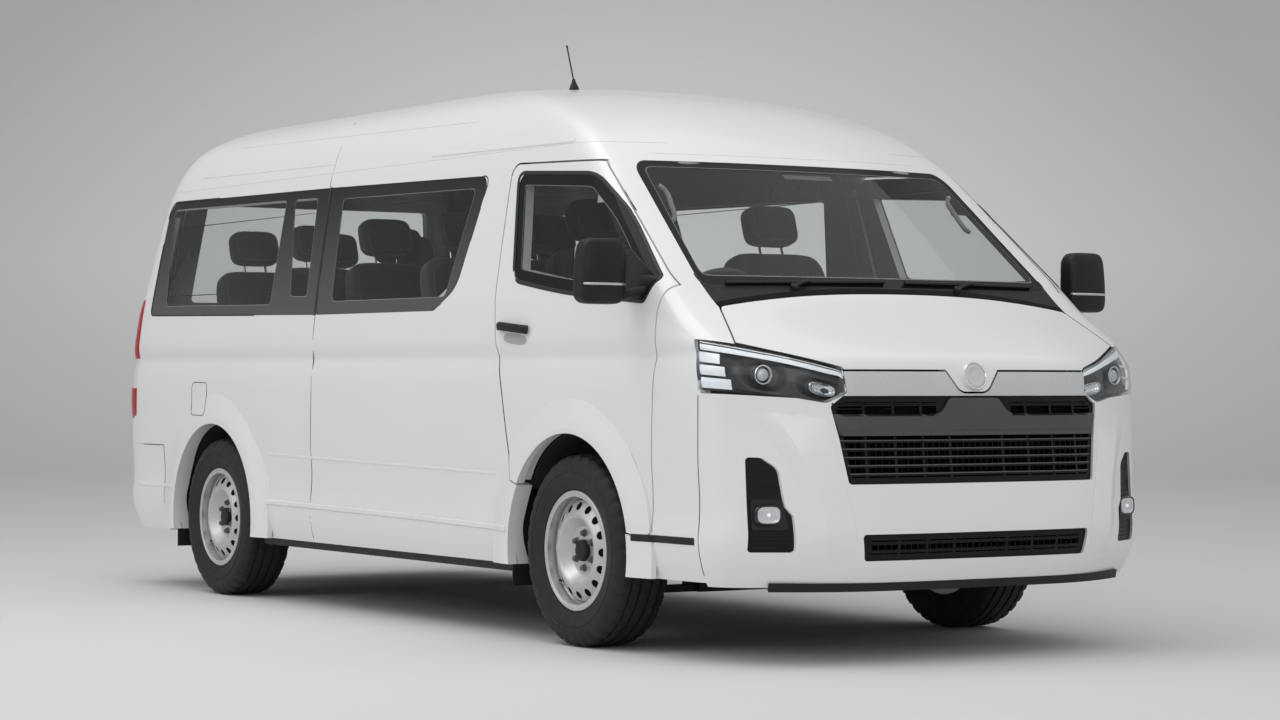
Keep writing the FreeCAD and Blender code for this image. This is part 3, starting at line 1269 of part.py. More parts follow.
# The mirror's corners, its arm's radius and edge as shares of its depth, the arm's drop as a share of its height
MIRROR_CORNER_SHARE = 0.4
MIRROR_ARM_SHARE = 0.2
MIRROR_EDGE_SHARE = 0.15
MIRROR_DROP_SHARE = 0.38
SAIL_SHARES = [(-0.3735, 0.6110), (-0.3350, 0.6640), (-0.3440, 0.5800)]
SAIL_CORNER_SHARES = [0.006, 0.006, 0.006]
HANDLE_SHARES = [(-0.2200, 0.5330), (-0.1800, 0.5390), (-0.1800, 0.5250), (-0.2200, 0.5190)]
HANDLE_CORNER_SHARES = [0.006, 0.006, 0.006, 0.006]


def mirror_head():
    """The right mirror's housing with rounded corners and a rounded outer edge."""
    half = size("mirror_depth") / 2
    tall = size("mirror_height") / 2
    places = [(-half, -tall), (-half, tall), (half, tall), (half, -tall)]
    wire = rounded_wire([Vector(-MIRROR_IN, MIRROR_Y + y, MIRROR_Z + z) for y, z in places],
                        [size("mirror_depth") * MIRROR_CORNER_SHARE] * 4)
    head = Part.Face(wire).extrude(Vector(-size("mirror_width"), 0, 0))
    end = -MIRROR_IN - size("mirror_width")
    rim = [edge for edge in head.Edges if abs(edge.BoundBox.XMin - end) < SEAT and edge.BoundBox.XLength < SEAT]
    return head.makeFillet(size("mirror_depth") * MIRROR_EDGE_SHARE, rim)


def mirror_mount():
    """The right mirror's arm and the sail plate that it stands on."""
    points, radii = outline(SAIL_SHARES, SAIL_CORNER_SHARES)
    outside = body_solid(-size("rebate")).cut([body_solid(size("glass_set") - SEAT), door])
    sail = side_prism(points, radii, near=SIDE_START_SHARE * HALF_WIDTH).common(outside)
    start = Vector(-MIRROR_IN - WALL / 2, MIRROR_Y, MIRROR_Z - size("mirror_height") * MIRROR_DROP_SHARE)
    reach = MIRROR_IN - HALF_WIDTH + 2 * WALL
    arm = Part.makeCylinder(size("mirror_depth") * MIRROR_ARM_SHARE, reach, start, Vector(1, 0, 0))
    return [arm.cut(seat_form), sail]


def door_handle():
    points, radii = outline(HANDLE_SHARES, HANDLE_CORNER_SHARES)
    layer = body_solid(-size("rebate") * 2).cut(seat_form)
    return side_prism(points, radii, near=SIDE_START_SHARE * HALF_WIDTH).common(layer)


mirror_set = [mirror_head().fuse(mirror_mount()), door_handle()]
add_feature("mirror_and_handle_right", compound(mirror_set))
add_feature("mirror_and_handle_left", compound([mirror(piece) for piece in mirror_set]))


# The antenna's place on the roof, how its foot leans with the roof there and how its mast leans
ANTENNA_SHARES = (-0.315, -0.0780, 0.98642)
FOOT_DIRECTION = Vector(-0.056, -0.077, 1)
MAST_DIRECTION = Vector(0, 0.35, 0.94)


def antenna():
    """The antenna's foot on the roof and its leaning mast."""
    x, y, z = ANTENNA_SHARES
    place = Vector(x * HALF_WIDTH, along(y), up(z))
    radius = size("stud_radius")
    base = Part.makeCone(radius * 2, radius, size("stud_height") * 2, place, FOOT_DIRECTION)
    mast = Part.makeCylinder(size("mast_radius"), size("mast_height"), place + Vector(0, 0, radius), MAST_DIRECTION)
    return base.fuse(mast)


add_feature("wipers_and_antenna", compound(wipers + [antenna()]))


# How far behind the axle a flap hangs, as a share of the housing's radius, and its lower edge's height
FLAP_REACH_SHARE = 0.98
FLAP_LOW_SHARE = 0.57


def mud_flap(axle):
    """The flap behind a right wheel, inside the body's skin."""
    y = axle + size("housing_radius") * FLAP_REACH_SHARE
    x0 = -TYRE_INSIDE - size("flap_width") + WALL / 2
    low = AXLE_HEIGHT * FLAP_LOW_SHARE
    flap = box(x0, x0 + size("flap_width"), y, y + size("flap_wall"), low, FLOOR_BOTTOM - SEAT)
    return flap.common(lining_form.fuse(box(-FULL, 0, NOSE, TAIL, 0, size("sill_height"))))


flap_list = []
for axle in AXLES:
    flap_list += both(mud_flap(axle))
add_feature("mud_flaps", compound(flap_list))


TANK_START_SHARE = -0.08
# Start and length of the exhaust pipe and of the silencer, and the radii in axle radii
PIPE_SHARES = (-0.20, 0.28)
SILENCER_SHARES = (-0.02, 0.09)
PIPE_RADIUS_SHARE = 2 / 3
SILENCER_WIDENING = 2.6


def fuel_tank():
    start = along(TANK_START_SHARE)
    inside = RAIL + HALF_RAIL
    tank = box(inside + SEAT, inside + size("tank_width"), start, start + size("tank_length"),
               FLOOR_BOTTOM - size("tank_height"), FLOOR_BOTTOM - SEAT)
    return tank.makeFillet(WALL / 2, tank.Edges)


def exhaust():
    """The exhaust pipe with its silencer, beside the right rail."""
    radius = size("axle_radius") * PIPE_RADIUS_SHARE
    wide = radius * SILENCER_WIDENING
    top = RAIL_BOTTOM + HALF_RAIL - SEAT
    place = -RAIL * 2 / 3
    pipe_start = Vector(place, along(PIPE_SHARES[0]), top - radius * 3 / 2)
    box_start = Vector(place, along(SILENCER_SHARES[0]), top - wide)
    pipe = Part.makeCylinder(radius, along(PIPE_SHARES[1]), pipe_start, Vector(0, 1, 0))
    silencer = Part.makeCylinder(wide, along(SILENCER_SHARES[1]), box_start, Vector(0, 1, 0))
    return silencer.fuse(pipe)


add_feature("underbody", compound([fuel_tank(), exhaust()]))

doc.recompute()
for item in doc.Objects:
    if "Invalid" in item.State or "Error" in item.State:
        raise ValueError("%s did not recompute" % item.Name)
for node in NODES:
    if node.Shape.isNull() or not node.Shape.isValid():
        raise ValueError("%s has no valid shape" % node.Label)
os.makedirs("parts", exist_ok=True)
for node in NODES:
    node.Shape.exportStep("parts/%s.step" % node.Label)
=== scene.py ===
import bpy
import bmesh
import json
import math
from mathutils import Vector, Matrix
from mathutils.bvhtree import BVHTree


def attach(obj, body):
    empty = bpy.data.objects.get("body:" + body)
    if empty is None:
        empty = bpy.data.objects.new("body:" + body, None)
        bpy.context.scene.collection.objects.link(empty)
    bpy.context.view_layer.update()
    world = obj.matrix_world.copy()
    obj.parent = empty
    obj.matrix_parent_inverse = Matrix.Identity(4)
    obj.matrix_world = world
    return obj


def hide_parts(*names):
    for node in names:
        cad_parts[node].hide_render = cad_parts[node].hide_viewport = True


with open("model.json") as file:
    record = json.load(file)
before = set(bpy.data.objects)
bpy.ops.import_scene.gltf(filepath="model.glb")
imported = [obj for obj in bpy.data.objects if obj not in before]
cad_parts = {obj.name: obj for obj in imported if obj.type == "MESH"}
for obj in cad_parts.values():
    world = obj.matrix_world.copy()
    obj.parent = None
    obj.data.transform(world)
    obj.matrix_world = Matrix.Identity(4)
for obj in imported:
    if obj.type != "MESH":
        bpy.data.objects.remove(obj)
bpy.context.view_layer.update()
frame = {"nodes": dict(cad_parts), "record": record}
NODES = frame["nodes"]
FRONT_AXLE, REAR_AXLE, AXLE_HEIGHT, WHEEL_MIDDLE = -1.5, 1.64, 0.354, 0.852
TURN = 2 * math.pi
SIDES = (("right", -1), ("left", 1))
UPWARD = Vector((0, 0, 1))


def add_object(name, data):
    obj = bpy.data.objects.new(name, data)
    bpy.context.scene.collection.objects.link(obj)
    return obj


def spread(low, high, count):
    """Even steps from low to high, both included."""
    return [low + (high - low) * k / count for k in range(count + 1)]


# Camera, fitted to the photo
CAMERA_PLACE = (-6.674, -11.0102, 0.9868)
CAMERA_YAW, CAMERA_PITCH, CAMERA_ROLL = -0.5633, -0.0062, 0.0020
CAMERA_LENS, SENSOR_WIDTH = 84.86, 36


def place_camera():
    data = bpy.data.cameras.new("camera")
    data.lens = CAMERA_LENS
    data.sensor_width = SENSOR_WIDTH
    data.clip_start, data.clip_end = 0.1, 200
    camera = add_object("camera", data)
    flat = math.cos(CAMERA_PITCH)
    back = Vector((math.sin(CAMERA_YAW) * flat, -math.cos(CAMERA_YAW) * flat, math.sin(CAMERA_PITCH)))
    right = Vector((math.cos(CAMERA_YAW), math.sin(CAMERA_YAW), 0))
    turned = right * math.cos(CAMERA_ROLL) + back.cross(right) * math.sin(CAMERA_ROLL)
    matrix = Matrix((turned, back.cross(turned), back)).transposed().to_4x4()
    matrix.translation = Vector(CAMERA_PLACE)
    camera.matrix_world = matrix
    bpy.context.scene.camera = camera


place_camera()


# Materials
class Material:
    """A node material on a Principled shader, with helpers for masks and bump."""

    def __init__(self, name, color, rough, metal=0.0, coat=0.0, coat_rough=0.03, spec=0.5, transmission=0.0,
                 ior=1.5, sheen=0.0, emission=None, strength=0.0):
        self.material = bpy.data.materials.new(name)
        self.material.use_nodes = True
        self.tree = self.material.node_tree
        self.shader = self.tree.nodes["Principled BSDF"]
        self.set("Base Color", (*color, 1))
        self.set("Roughness", rough)
        self.set("Metallic", metal)
        self.set("IOR", ior)
        self.set("Coat Weight", coat)
        self.set("Coat Roughness", coat_rough)
        self.set("Specular IOR Level", spec)
        self.set("Transmission Weight", transmission)
        self.set("Sheen Weight", sheen)
        if emission:
            self.set("Emission Color", (*emission, 1))
            self.set("Emission Strength", strength)
        self.color = color
        self.rough = rough
        self.place = None

    def set(self, name, value):
        self.shader.inputs[name].default_value = value

    def drive(self, name, output):
        """Links a node's output to one of the shader's inputs."""
        self.link(output, self.shader.inputs[name])

    def node(self, kind, **values):
        item = self.tree.nodes.new(kind)
        for key, value in values.items():
            setattr(item, key, value)
        return item

    def link(self, a, b):
        self.tree.links.new(a, b)

    def position(self):
        """The rest position of the surface, in metres."""
        if self.place is None:
            self.place = self.node("ShaderNodeTexCoord").outputs["Object"]
        return self.place

    def math(self, operation, *values, clamp=False):
        item = self.node("ShaderNodeMath", operation=operation, use_clamp=clamp)
        for index, value in enumerate(values):
            if isinstance(value, (int, float)):
                item.inputs[index].default_value = value
            else:
                self.link(value, item.inputs[index])
        return item.outputs[0]

    def vector_math(self, operation, a, b):
        item = self.node("ShaderNodeVectorMath", operation=operation)
        self.link(a, item.inputs[0])
        self.link(b, item.inputs[1])
        return item.outputs["Value" if operation == "DOT_PRODUCT" else "Vector"]

    def axes(self):
        split = self.node("ShaderNodeSeparateXYZ")
        self.link(self.position(), split.inputs[0])
        return split.outputs

    def noise(self, scale, detail=4):
        item = self.node("ShaderNodeTexNoise")
        item.inputs["Scale"].default_value = scale
        item.inputs["Detail"].default_value = detail
        item.inputs["Roughness"].default_value = 0.55
        self.link(self.position(), item.inputs["Vector"])
        return item.outputs["Fac"]

    def mix(self, factor, first, second):
        item = self.node("ShaderNodeMix", data_type="RGBA")
        self.link(factor, item.inputs["Factor"])
        for index, value in ((6, first), (7, second)):
            if isinstance(value, tuple):
                item.inputs[index].default_value = (*value, 1)
            else:
                self.link(value, item.inputs[index])
        return item.outputs[2]

    def span(self, value, low, high, to_low=0.0, to_high=1.0):
        item = self.node("ShaderNodeMapRange")
        self.link(value, item.inputs["Value"])
        for name, number in (("From Min", low), ("From Max", high), ("To Min", to_low), ("To Max", to_high)):
            item.inputs[name].default_value = number
        return item.outputs[0]

    def vary(self, scale, amount, rough_amount):
        """Slow changes of tone and gloss over the surface."""
        dark = tuple(c * (1 - amount) for c in self.color)
        light = tuple(min(1.0, c * (1 + amount)) for c in self.color)
        self.drive("Base Color", self.mix(self.span(self.noise(scale), 0.3, 0.7), dark, light))
        low, high = max(0.0, self.rough - rough_amount), min(1.0, self.rough + rough_amount)
        self.drive("Roughness", self.span(self.noise(scale * 3.1), 0.3, 0.7, low, high))
        return self

    def bump(self, height, strength, distance):
        item = self.node("ShaderNodeBump")
        item.inputs["Strength"].default_value = strength
        item.inputs["Distance"].default_value = distance
        self.link(height, item.inputs["Height"])
        self.drive("Normal", item.outputs[0])
        return self

    def ribs(self, value, per_metre):
        """A wave along a value of the surface."""
        return self.math("SINE", self.math("MULTIPLY", value, per_metre))

    def grain(self, scale, strength, distance=0.0004):
        return self.bump(self.noise(scale, 3), strength, distance)


def white_paint(name):
    paint = Material(name, (0.79, 0.795, 0.80), 0.34, coat=0.55, coat_rough=0.09).vary(1.3, 0.012, 0.03)
    return paint.bump(paint.noise(650, 2), 0.04, 0.0003)


CABIN_MIDDLE_HEIGHT = 1.20
# Tone of inner faces: the lining's grey darkened with painted shade of the dim cabin
LINING_AND_SHADE_TONE = (0.10, 0.10, 0.105)


def lined_and_shaded_paint():
    """White paint with a dark tone where the surface faces the cabin's middle line: the lining's colour,
    darkened by painted shade of the cabin.
    """
    paint = white_paint("lined_and_shaded_paint")
    middle = paint.node("ShaderNodeCombineXYZ")
    paint.link(paint.axes()[1], middle.inputs[1])
    middle.inputs[2].default_value = CABIN_MIDDLE_HEIGHT
    away = paint.vector_math("SUBTRACT", paint.position(), middle.outputs[0])
    normal = paint.node("ShaderNodeNewGeometry").outputs["True Normal"]
    inside = paint.span(paint.vector_math("DOT_PRODUCT", away, normal), -0.06, -0.02, 1.0, 0.0)
    above_sill = paint.span(paint.axes()[2], 0.66, 0.70)
    outer = paint.shader.inputs["Base Color"].links[0].from_socket
    paint.drive("Base Color", paint.mix(paint.math("MULTIPLY", inside, above_sill), outer, LINING_AND_SHADE_TONE))
    return paint


def plastic(name, color, rough=0.55, grain=900.0, spec=0.5):
    return Material(name, color, rough, spec=spec).vary(14, 0.12, 0.06).grain(grain, 0.35, 0.0003)


def cloth(name, color):
    """Woven seat cloth: two crossed sets of ribs under a slow change of tone."""
    fabric = Material(name, color, 0.9, sheen=0.35)
    axes = fabric.axes()
    weave = fabric.math("MULTIPLY", fabric.ribs(axes[0], 2400.0), fabric.ribs(axes[2], 2400.0))
    fabric.vary(18, 0.15, 0.05)
    return fabric.bump(fabric.math("ADD", weave, fabric.noise(600, 3)), 0.5, 0.0006)


def tail_lens():
    """A red lens with a white band in its middle and fine ribs."""
    lens = Material("tail_lamp_lens", (0.36, 0.006, 0.010), 0.22, coat=0.2, coat_rough=0.05)
    height = lens.axes()[2]
    below = lens.math("SUBTRACT", 1.0, lens.span(height, 1.075, 1.080), clamp=True)
    band = lens.math("MULTIPLY", lens.span(height, 0.935, 0.940), below)
    tone = lens.mix(lens.span(lens.noise(40), 0.3, 0.7), (0.32, 0.004, 0.008), (0.42, 0.010, 0.014))
    lens.drive("Base Color", lens.mix(band, tone, (0.62, 0.62, 0.64)))
    return lens.bump(lens.ribs(height, 900.0), 0.25, 0.0006)


def reflector_metal():
    metal = Material("lamp_reflector", (0.74, 0.76, 0.78), 0.10, metal=1.0).vary(70, 0.05, 0.03)
    return metal.bump(metal.ribs(metal.axes()[0], 520.0), 0.35, 0.0012)


# Paint, plastics and metals
PAINT = white_paint("white_paint")
LINED_AND_SHADED_PAINT = lined_and_shaded_paint()
# Darker paint for the handle cups: painted shade of a recess, laid on a near-flat plate
SHADED_PAINT = Material("shaded_paint", (0.42, 0.425, 0.43), 0.45).vary(8, 0.03, 0.03)
BLACK = plastic("black_grained_plastic", (0.009, 0.009, 0.0095), 0.52, spec=0.35)
GRILLE_BLACK = plastic("grille_black_plastic", (0.006, 0.006, 0.0065), 0.38, 1200.0, spec=0.2)
# Near-black for openings: painted shade where the inside of a hole or grille lies in shadow
PAINTED_SHADE_BLACK = Material("painted_shade_black", (0.004, 0.004, 0.004), 0.9, spec=0.1).vary(20, 0.2, 0.03)
GLOSS_BLACK = Material("gloss_black_plastic", (0.008, 0.008, 0.009), 0.12, coat=0.5).vary(20, 0.2, 0.03)
BORDER = Material("window_border", (0.020, 0.020, 0.022), 0.14).vary(20, 0.05, 0.03)
DARK_GREY = Material("dark_grey_satin", (0.075, 0.077, 0.083), 0.33, metal=0.35).vary(10, 0.05, 0.05)
DARK_GREY.grain(1500, 0.08)
# Lighter grey for the slats' top edges: painted highlight
SLAT_PAINTED_HIGHLIGHT = Material("slat_edge_grey", (0.10, 0.10, 0.105), 0.35).vary(20, 0.1, 0.05)
SILVER = Material("silver_satin", (0.64, 0.65, 0.66), 0.27, metal=0.8, coat=0.4).vary(3, 0.02, 0.02)
CHROME = Material("chrome", (0.80, 0.81, 0.82), 0.07, metal=1.0).vary(15, 0.02, 0.02)
RIM_PAINT = Material("rim_silver_paint", (0.56, 0.57, 0.585), 0.36, metal=0.55, coat=0.35)
RIM_PAINT.vary(8, 0.04, 0.06).grain(1200, 0.1)
UNDERSEAL = plastic("underseal", (0.022, 0.022, 0.023), 0.75, 300.0)
CAST = Material("cast_metal", (0.14, 0.14, 0.145), 0.55, metal=0.8).vary(20, 0.2, 0.1).grain(500, 0.5, 0.0008)
BRAKE = Material("brake_iron", (0.11, 0.105, 0.10), 0.5, metal=0.9).vary(40, 0.25, 0.12)
BRAKE.grain(300, 0.4, 0.0006)
TANK = plastic("tank_coating", (0.05, 0.05, 0.053), 0.6, 400.0)
DASH = plastic("dash_plastic", (0.055, 0.056, 0.060), 0.62, 1100.0)
SEAT_FRAME = plastic("seat_frame_paint", (0.030, 0.030, 0.032), 0.5, 500.0)

# Rubber, cloth and lining
RUBBER = Material("tyre_rubber", (0.020, 0.020, 0.021), 0.62, spec=0.3).vary(9, 0.15, 0.08)
RUBBER.grain(700, 0.3, 0.0005)
SEAL = Material("seal_rubber", (0.010, 0.010, 0.011), 0.55).vary(30, 0.1, 0.05)
SEAT_CLOTH = cloth("seat_cloth", (0.060, 0.062, 0.067))
PIPING = Material("seat_piping", (0.11, 0.11, 0.115), 0.7).vary(30, 0.1, 0.05)
LINING = Material("cabin_lining", (0.30, 0.30, 0.31), 0.85, sheen=0.2).vary(5, 0.06, 0.05).grain(1300, 0.4)

# Lamps and mirrors
LENS = Material("lamp_lens", (0.95, 0.97, 0.98), 0.0, ior=1.2, transmission=1.0).vary(4, 0.01, 0.004)
CLEAR = Material("clear_lens_glass", (0.95, 0.97, 0.98), 0.02, ior=1.5, transmission=1.0).vary(40, 0.02, 0.01)
TAIL_LENS = tail_lens()
BEZEL = Material("lamp_bezel", (0.030, 0.031, 0.034), 0.30).vary(25, 0.1, 0.05).grain(1600, 0.1)
LIGHT_BAND = Material("light_band", (0.88, 0.90, 0.92), 0.22, coat=1.0, emission=(0.9, 0.95, 1.0),
                      strength=0.22)
LIGHT_BAND.vary(60, 0.03, 0.05)
FACET = reflector_metal()
# Light grey that is hardly metal: painted reflection, for the bright look of the fog lamp's reflector and the
# projector's glass
PAINTED_REFLECTION_SILVER = Material("painted_reflection_silver", (0.62, 0.64, 0.66), 0.2, metal=0.3, coat=0.6).vary(120, 0.08, 0.05)
MIRROR_GLASS = Material("mirror_glass", (0.75, 0.77, 0.78), 0.03, metal=1.0).vary(5, 0.01, 0.01)


# Windows: a black ceramic border round a lightly tinted pane
def polygon_distance(material, u, v, points, rounding):
    """How far outside a convex outline a point lies, the corners smoothed, in metres."""
    cx = sum(p[0] for p in points) / len(points)
    cy = sum(p[1] for p in points) / len(points)
    field = None
    for k, (x0, y0) in enumerate(points):
        x1, y1 = points[(k + 1) % len(points)]
        nx, ny = y1 - y0, -(x1 - x0)
        size = math.hypot(nx, ny)
        nx, ny = nx / size, ny / size
        if (cx - x0) * nx + (cy - y0) * ny > 0:
            nx, ny = -nx, -ny
        reach = material.math("ADD", material.math("MULTIPLY", u, nx), material.math("MULTIPLY", v, ny))
        side = material.math("ADD", reach, -(x0 * nx + y0 * ny))
        field = side if field is None else material.math("SMOOTH_MAX", field, side, rounding)
    return field


def window_glass(name, panes, axes=(1, 2), border=(0.012, 0.012, 0.013), tint=(0.86, 0.885, 0.875),
                 inset=0.0):
    """Glass that is clear inside the panes and black outside them; a border of two tones grades from the
    first at the foot to the second at the top, as painted light.
    """
    glass = Material(name, tint, 0.0, ior=1.22, transmission=1.0)
    place = glass.axes()
    field = None
    for points, rounding in panes:
        distance = polygon_distance(glass, place[axes[0]], place[axes[1]], points, rounding)
        field = distance if field is None else glass.math("MINIMUM", field, distance)
    mask = glass.span(field, -0.0015 - inset, 0.0015 - inset)
    # A two-tone border is painted light: lighter at the pane's foot, darker towards its top
    if len(border) == 2:
        border = glass.mix(glass.span(place[2], 1.28, 1.80), *border)
    glass.drive("Base Color", glass.mix(mask, tint, border))
    glass.drive("Transmission Weight", glass.math("SUBTRACT", 1.0, mask, clamp=True))
    ripple = glass.math("MULTIPLY", glass.noise(3.0, 1), 0.012)
    glass.drive("Roughness", glass.math("ADD", glass.math("MULTIPLY", mask, 0.12), ripple))
    return glass


REAR_PANE = ([(2.405, 1.790), (1.165, 1.775), (1.125, 1.310), (2.275, 1.325)], 0.035)
NARROW_PANE = ([(1.080, 1.775), (0.850, 1.770), (0.770, 1.338), (0.935, 1.342)], 0.035)
FRONT_PANE = ([(0.600, 1.755), (-0.575, 1.738), (-0.485, 1.310), (0.520, 1.312)], 0.045)
SCREEN_PANE = ([(-0.690, 1.775), (0.690, 1.775), (0.762, 1.355), (-0.762, 1.355)], 0.05)
TAIL_PANE = ([(-0.600, 1.830), (0.600, 1.830), (0.665, 1.345), (-0.665, 1.345)], 0.04)
DOOR_RING = [(-0.9029, 1.7809), (-1.4823, 1.7450), (-1.7010, 1.6148), (-2.0196, 1.3486), (-1.9656, 1.2628),
             (-1.4148, 1.3068), (-1.0206, 1.3618)]
# Side border tones, foot then top: painted light, the foot lighter
SIDE_BORDER_PAINTED_LIGHT = ((0.095, 0.095, 0.099), (0.022, 0.022, 0.024))
SIDE_GLASS = window_glass("side_window_glass", [REAR_PANE, NARROW_PANE, FRONT_PANE], border=SIDE_BORDER_PAINTED_LIGHT)
DOOR_GLASS = window_glass("door_window_glass", [(DOOR_RING, 0.02)], inset=0.046, tint=(0.84, 0.87, 0.86))
SCREEN_GLASS = window_glass("windscreen_glass", [SCREEN_PANE], axes=(0, 2), tint=(0.84, 0.86, 0.855))
TAIL_GLASS = window_glass("tail_window_glass", [TAIL_PANE], axes=(0, 2))


# What each node of the frame wears: by its slot, or its own material
SLOT_MATERIALS = {
    "body_white": PAINT, "window_glass": SIDE_GLASS, "lens_glass": LENS, "lamp_body": BEZEL,
    "black_plastic": BLACK, "silver_trim": SILVER, "tail_lamp_red": TAIL_LENS, "underbody_steel": UNDERSEAL,
    "engine_metal": CAST, "tank_metal": TANK, "flap_rubber": SEAL, "tyre_rubber": RUBBER,
    "rim_steel": RIM_PAINT, "seat_fabric": SEAT_CLOTH, "dash_plastic": DASH,
}
OWN_MATERIALS = {
    "door_glass_right": DOOR_GLASS, "door_glass_left": DOOR_GLASS, "windscreen": SCREEN_GLASS,
    "tailgate_glass": TAIL_GLASS, "grilles": GRILLE_BLACK, "knuckle_right": BRAKE, "knuckle_left": BRAKE,
    "side_panel_right": LINED_AND_SHADED_PAINT, "side_panel_left": LINED_AND_SHADED_PAINT, "sliding_door": LINED_AND_SHADED_PAINT,
    "roof_panel": LINED_AND_SHADED_PAINT, "front_door_right": LINED_AND_SHADED_PAINT, "front_door_left": LINED_AND_SHADED_PAINT,
    "tailgate": LINED_AND_SHADED_PAINT, "front_fenders": LINED_AND_SHADED_PAINT,
}


def dress(obj, material):
    obj.data.materials.clear()
    obj.data.materials.append(material.material)


def dress_nodes():
    slots = {part["node"]: part["material_slot"] for part in frame["record"]["subparts"]}
    for name, obj in NODES.items():
        dress(obj, OWN_MATERIALS.get(name) or SLOT_MATERIALS[slots[name]])


dress_nodes()


# Stage and light
STAGE_AHEAD = Vector((0.534, 0.8455, 0))
STAGE_ACROSS = Vector((0.8455, -0.534, 0))
STAGE_HALF_WIDTH, STAGE_FRONT, CURVE_START, CURVE_RADIUS, WALL_TOP = 60, -40, 18, 10, 40


def stage_grey():
    """Grey with painted light: a pool that falls off sideways and up the wall, and painted shade that makes
    the floor darker than the wall.
    """
    pale = Material("studio_grey", (0.74, 0.74, 0.74), 0.9, spec=0.1)
    x, y, z = pale.axes()
    sideways = pale.math("ADD", pale.math("MULTIPLY", x, STAGE_ACROSS.x),
                         pale.math("MULTIPLY", y, STAGE_ACROSS.y))
    height = pale.math("MULTIPLY", pale.math("MAXIMUM", pale.math("SUBTRACT", z, 1.0), 0.0), 1.2)
    squares = pale.math("ADD", pale.math("MULTIPLY", sideways, sideways),
                        pale.math("MULTIPLY", height, height))
    # Painted pool of light: lightest near the middle, darker further off
    painted_falloff = pale.span(pale.math("SQRT", squares), 1.5, 9.5)
    ground = pale.mix(painted_falloff, (0.66, 0.66, 0.66), (0.50, 0.50, 0.505))
    wall = pale.mix(painted_falloff, (0.95, 0.95, 0.95), (0.58, 0.58, 0.585))
    pale.drive("Base Color", pale.mix(pale.span(z, 0.02, 2.5), ground, wall))
    return pale


def make_stage():
    """A floor that curves up into a wall behind the vehicle, as the camera sees it."""
    curve = [(CURVE_START + CURVE_RADIUS * math.sin(angle), CURVE_RADIUS * (1 - math.cos(angle)))
             for angle in spread(0, math.pi / 2, 24)]
    profile = [(STAGE_FRONT, 0.0)] + curve + [(CURVE_START + CURVE_RADIUS, WALL_TOP)]
    verts = [STAGE_AHEAD * reach + STAGE_ACROSS * side + UPWARD * height
             for reach, height in profile for side in (-STAGE_HALF_WIDTH, STAGE_HALF_WIDTH)]
    mesh = bpy.data.meshes.new("studio_sweep")
    mesh.from_pydata(verts, [], [(2 * k, 2 * k + 1, 2 * k + 3, 2 * k + 2) for k in range(len(profile) - 1)])
    mesh.update()
    for face in mesh.polygons:
        face.use_smooth = True
    floor = add_object("studio_sweep", mesh)
    dress(floor, stage_grey())


def area_light(name, place, target, size_x, size_y, power):
    data = bpy.data.lights.new(name, "AREA")
    data.shape = "RECTANGLE"
    data.size, data.size_y = size_x, size_y
    data.energy = power
    lamp = add_object(name, data)
    lamp.location = place
    lamp.rotation_mode = "QUATERNION"
    lamp.rotation_quaternion = (Vector(target) - Vector(place)).to_track_quat("-Z", "Y")


def light_stage():
    """A grey sky, lighter towards its top, and three soft boxes."""
    world = bpy.data.worlds.new("studio")
    bpy.context.scene.world = world
    world.use_nodes = True
    tree = world.node_tree
    background = tree.nodes["Background"]
    background.inputs[1].default_value = 1.0
    place = tree.nodes.new("ShaderNodeTexCoord")
    split = tree.nodes.new("ShaderNodeSeparateXYZ")
    ramp = tree.nodes.new("ShaderNodeMapRange")
    ramp.inputs["To Min"].default_value = 0.50
    ramp.inputs["To Max"].default_value = 0.92
    tone = tree.nodes.new("ShaderNodeCombineColor")
    tree.links.new(place.outputs["Generated"], split.inputs[0])
    tree.links.new(split.outputs[2], ramp.inputs["Value"])
    for index in range(3):
        tree.links.new(ramp.outputs[0], tone.inputs[index])
    tree.links.new(tone.outputs[0], background.inputs[0])
    area_light("top_box", (-3.6, 0.0, 7.5), (-1.0, 0, 0.8), 5, 8, 200)
    area_light("nose_box", (-3.5, -9.5, 4.0), (0, -1.8, 1.0), 5, 3, 70)
    area_light("side_box", (-9.5, 1.5, 4.2), (0, 0.5, 1.0), 8, 3, 60)


make_stage()
light_stage()
bpy.context.scene.view_settings.view_transform = "Standard"


# Mesh helpers
def piece(name, verts, faces, material, body, angle=35.0, replaced=()):
    """A smooth mesh object that rides on a body of the frame."""
    mesh = bpy.data.meshes.new(name)
    mesh.from_pydata([tuple(v) for v in verts], [], faces)
    mesh.validate()
    work = bmesh.new()
    work.from_mesh(mesh)
    bmesh.ops.remove_doubles(work, verts=work.verts, dist=1e-6)
    bmesh.ops.recalc_face_normals(work, faces=work.faces)
    work.to_mesh(mesh)
    work.free()
    for face in mesh.polygons:
        face.use_smooth = True
    mesh.set_sharp_from_angle(angle=math.radians(angle))
    obj = add_object(name, mesh)
    dress(obj, material)
    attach(obj, body)
    if replaced:
        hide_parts(*replaced)
    return obj


def merged(parts):
    verts, faces = [], []
    for part_verts, part_faces in parts:
        start = len(verts)
        verts += [Vector(v) for v in part_verts]
        faces += [tuple(start + i for i in face) for face in part_faces]
    return verts, faces


def net(rows, size, around=True, closed=False):
    """Faces between rows of points: around joins a row's ends, closed joins the last row to the first."""
    faces = []
    for k in range(rows if closed else rows - 1):
        a, b = k * size, (k + 1) % rows * size
        for i in range(size if around else size - 1):
            j = (i + 1) % size
            faces.append((a + i, a + j, b + j, b + i))
    return faces


def row_face(row, size):
    """One face over all points of a row."""
    return tuple(row * size + i for i in range(size))


def patch(inside, rows, columns):
    """A sheet whose points come from a function of two shares."""
    verts = [inside(i / columns, j / rows) for j in range(rows + 1) for i in range(columns + 1)]
    return verts, net(rows + 1, columns + 1, around=False)


